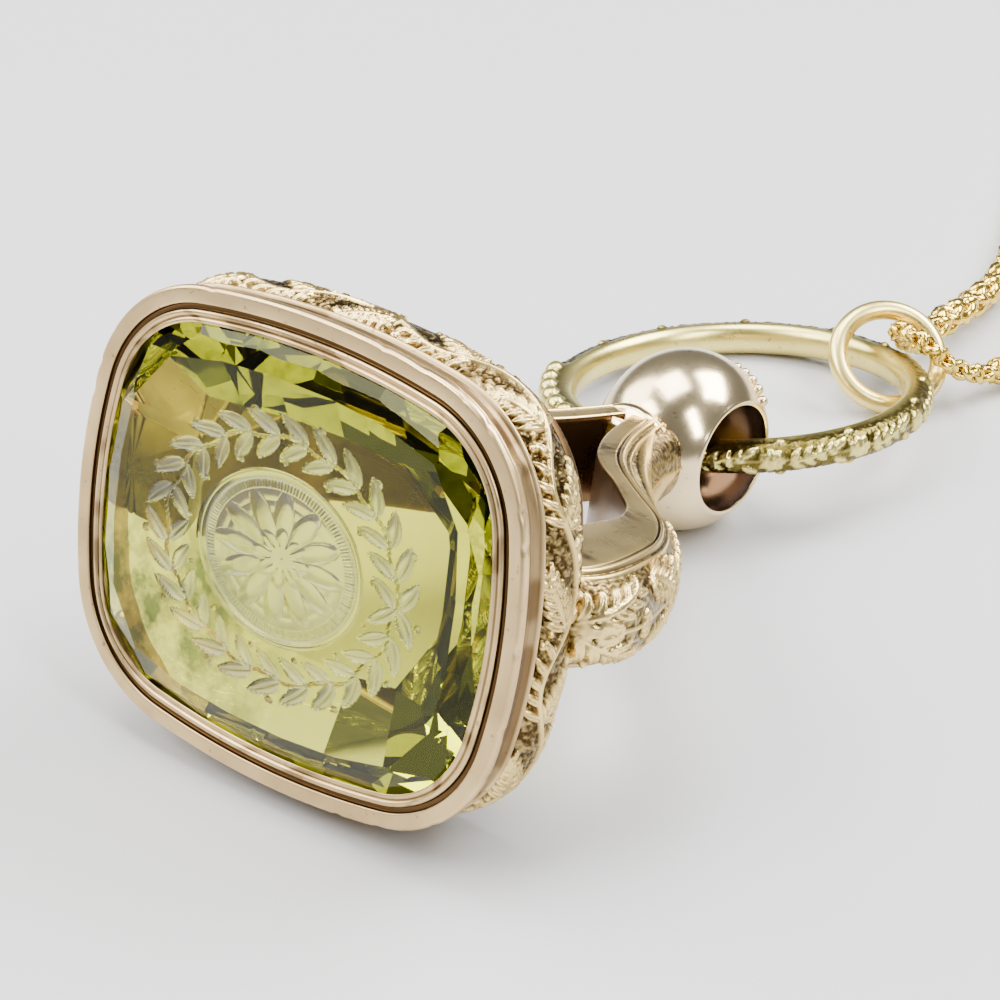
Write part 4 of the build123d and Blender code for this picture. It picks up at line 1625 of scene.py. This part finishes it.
@dataclass(frozen=True)
class Studio:
    """Pale floor, soft lights, sky and the camera. Places are metres, angles degrees."""

    camera_place: tuple[float, float, float] = (0.100918, -0.104123, 0.101885)
    azimuth: float = 40.23
    elevation: float = 30.94
    roll: float = -1.52
    focal_share: float = 3.7037
    sensor: float = 36.0
    light_aim: tuple[float, float, float] = (0.0, 0.012, 0.008)
    floor_half: float = 3.0
    floor_colour: tuple[float, float, float] = (0.53, 0.53, 0.54)
    floor_roughness: float = 0.45
    sky_colour: tuple[float, float, float] = (0.5, 0.51, 0.53)
    sky_strength: float = 0.42

    def plain(self, name: str, colour: tuple[float, float, float], roughness: float) -> bpy.types.Material:
        """A plain material for the floor.

        Args:
            name: Name of the material.
            colour: Red, green and blue.
            roughness: Roughness of its surface.

        Returns:
            The material.
        """
        material = bpy.data.materials.new(name)
        material.use_nodes = True
        shader = material.node_tree.nodes["Principled BSDF"]
        shader.inputs["Base Color"].default_value = (*colour, 1)
        shader.inputs["Roughness"].default_value = roughness
        return material

    def floor(self) -> bpy.types.Object:
        """The floor, a wide plain sheet at the surface that the necklace lies on.

        Returns:
            The floor.
        """
        half = self.floor_half
        mesh = bpy.data.meshes.new("floor")
        mesh.from_pydata([(-half, -half, 0), (half, -half, 0), (half, half, 0), (-half, half, 0)], [],
                         [(0, 1, 2, 3)])
        floor = bpy.data.objects.new("floor", mesh)
        mesh.materials.append(self.plain("pale_floor", self.floor_colour, self.floor_roughness))
        bpy.context.scene.collection.objects.link(floor)
        return floor

    def light(self, name: str, place: tuple[float, float, float], size: tuple[float, float],
              power: float, colour: tuple[float, float, float] = (1, 1, 1)) -> None:
        """A soft rectangular light that looks at the seal.

        Args:
            name: Name of the light.
            place: Where its middle stands, in metres.
            size: Its two sides, in metres.
            power: Its power in watts.
            colour: Red, green and blue of the light.
        """
        lamp = bpy.data.lights.new(name, "AREA")
        lamp.shape = "RECTANGLE"
        lamp.size, lamp.size_y = size
        lamp.energy = power
        lamp.color = colour
        holder = bpy.data.objects.new(name, lamp)
        back = np.array(place) - np.array(self.light_aim)
        back /= np.linalg.norm(back)
        right = np.cross([0.0, 0.0, 1.0], back)
        right /= np.linalg.norm(right)
        holder.matrix_world = self.matrix(right, np.cross(back, right), back, place)
        bpy.context.scene.collection.objects.link(holder)

    @staticmethod
    def matrix(right: np.ndarray, up: np.ndarray, back: np.ndarray, place: tuple) -> Matrix:
        """A placement from three directions and a place.

        Args:
            right: First axis.
            up: Second axis.
            back: Third axis, which a camera or light looks away from.
            place: Origin.

        Returns:
            The placement, with the axes and the place as its columns.
        """
        columns = np.eye(4)
        columns[:3, 0], columns[:3, 1], columns[:3, 2], columns[:3, 3] = right, up, back, place
        return Matrix(columns.tolist())

    def camera(self) -> None:
        """The camera at the photograph's place: its axes from azimuth, elevation and roll."""
        turn, rise, roll = (math.radians(a) for a in (self.azimuth, self.elevation, self.roll))
        back = np.array([math.sin(turn) * math.cos(rise), -math.cos(turn) * math.cos(rise), math.sin(rise)])
        level = np.array([math.cos(turn), math.sin(turn), 0.0])
        steep = np.cross(back, level)
        right = math.cos(roll) * level + math.sin(roll) * steep
        up = math.cos(roll) * steep - math.sin(roll) * level
        lens = bpy.data.cameras.new("camera")
        lens.sensor_width = self.sensor
        lens.lens = self.focal_share * self.sensor
        lens.clip_start = 0.005
        holder = bpy.data.objects.new("camera", lens)
        holder.matrix_world = self.matrix(right, up, back, self.camera_place)
        bpy.context.scene.collection.objects.link(holder)
        bpy.context.scene.camera = holder

    def build(self) -> None:
        """Builds floor, lights, sky and camera."""
        self.floor()
        self.light("back_softbox", (0.2, 0.42, 0.5), (0.5, 0.32), 11.0)
        self.light("top_softbox", (-0.14, 0.08, 0.6), (0.3, 0.4), 5.5)
        self.light("front_softbox", (-0.22, -0.32, 0.42), (0.25, 0.3), 3.6, (1.0, 0.97, 0.93))
        self.light("right_strip", (0.4, -0.08, 0.36), (0.1, 0.35), 2.4)
        self.light("left_softbox", (-0.46, -0.08, 0.38), (0.4, 0.4), 4.5, (1.0, 0.98, 0.95))
        world = bpy.data.worlds.new("studio")
        world.use_nodes = True
        sky = world.node_tree.nodes["Background"]
        sky.inputs["Color"].default_value = (*self.sky_colour, 1)
        sky.inputs["Strength"].default_value = self.sky_strength
        bpy.context.scene.world = world
        self.camera()


@dataclass
class FobNecklace:
    """The whole necklace: builds each sub-assembly, dresses it and ties it to the frame."""

    nodes: dict
    record: dict

    def dress(self, piece: bpy.types.Object, material: bpy.types.Material, slot: Slot,
              *replaced: str) -> None:
        """Gives a piece its material and its body, and hides the CAD nodes that it stands for.

        Args:
            piece: The piece.
            material: Its finish.
            slot: Its material slot of the record; not used.
            *replaced: Names of the CAD nodes.
        """
        piece.data.materials.clear()
        piece.data.materials.append(material)
        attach(piece, "root")
        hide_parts(*replaced)
        LOG.info("%s: %d faces, replaces %s", piece.name, len(piece.data.polygons), ", ".join(replaced))

    def build(self) -> None:
        """Builds the necklace in order: mount, stone, rings, chain and fastening."""
        wear_and_shade = worn_shaded_gold_group()
        satin = GoldFinish("satin_rose_gold", (0.74, 0.53, 0.26), (0.1, 0.055, 0.02), roughness=0.25,
                           patches=0.6).material(wear_and_shade)
        # painted shade: the carved gold's third colour stains the spots and paints the arms' inner faces
        # brown as shade
        carved = GoldFinish("carved_gold", (0.92, 0.68, 0.26), (0.05, 0.028, 0.008), (0.16, 0.09, 0.04),
                            roughness=0.2, scratches=0.6, bump=0.05).material(wear_and_shade)
        # painted shade: the polished gold's third colour paints the inside of the hollow bead dark as shade
        polished = GoldFinish("polished_rose_gold", (0.95, 0.76, 0.44), (0.1, 0.055, 0.025),
                              (0.09, 0.05, 0.025), roughness=0.12, patches=0.25).material(wear_and_shade)
        green = GoldFinish("chased_green_gold", (0.8, 0.68, 0.22), (0.1, 0.075, 0.015), roughness=0.22,
                           patches=0.3).material(wear_and_shade)
        wire = GoldFinish("cream_gold", (0.92, 0.74, 0.25), (0.3, 0.2, 0.07), roughness=0.24,
                          patches=0.15, carved=False).material(wear_and_shade)
        rope = GoldFinish("rope_gold", (0.95, 0.7, 0.14), (0.4, 0.23, 0.03), roughness=0.18, patches=0.1,
                          scratches=0.1).material(wear_and_shade)
        finishes = {"bezel": satin, "ornament_band": carved, "handle_arms": carved}
        stone_glass = StoneFinish().material()
        stone = Citrine(SealFrame.from_record(self.record, Citrine.table_height))
        seal = stone.seal
        mount = SealMount(seal)
        for piece in mount.build():
            finish = finishes.get(piece.name, polished)
            self.dress(piece, finish, Slot.ROSE_GOLD, "seal_mount")
        self.dress(stone.build(self.nodes["citrine"]), stone_glass, Slot.CITRINE, "citrine")
        bead = seal.place(np.array([0.0, mount.bead_seat + mount.bead_radius, 0.0]))
        ring = SplitRing()
        ring_pose = RingPose.from_node(self.nodes["split_ring"], bead, 0.6)
        self.dress(ring.build(ring_pose), green, Slot.GREEN_GOLD, "split_ring")
        jump_pose = RingPose.from_node(self.nodes["jump_ring"], ring_pose.centre, 0.0)
        self.dress(JumpRing().build(jump_pose), wire, Slot.YELLOW_GOLD, "jump_ring")
        self.dress(RopeChain().build(), rope, Slot.CHAIN_GOLD, "chain")
        for name in ("end_loop_left", "end_loop_right", "clasp"):
            node = self.nodes[name]
            node.data.materials.clear()
            node.data.materials.append(wire)
            LOG.info("%s keeps its CAD shape", name)


def main() -> None:
    """Builds the studio and the necklace."""
    logging.basicConfig(level=logging.INFO, format="%(name)s: %(message)s")
    Studio().build()
    FobNecklace(frame["nodes"], frame["record"]).build()


if __name__ == "__main__":
    main()
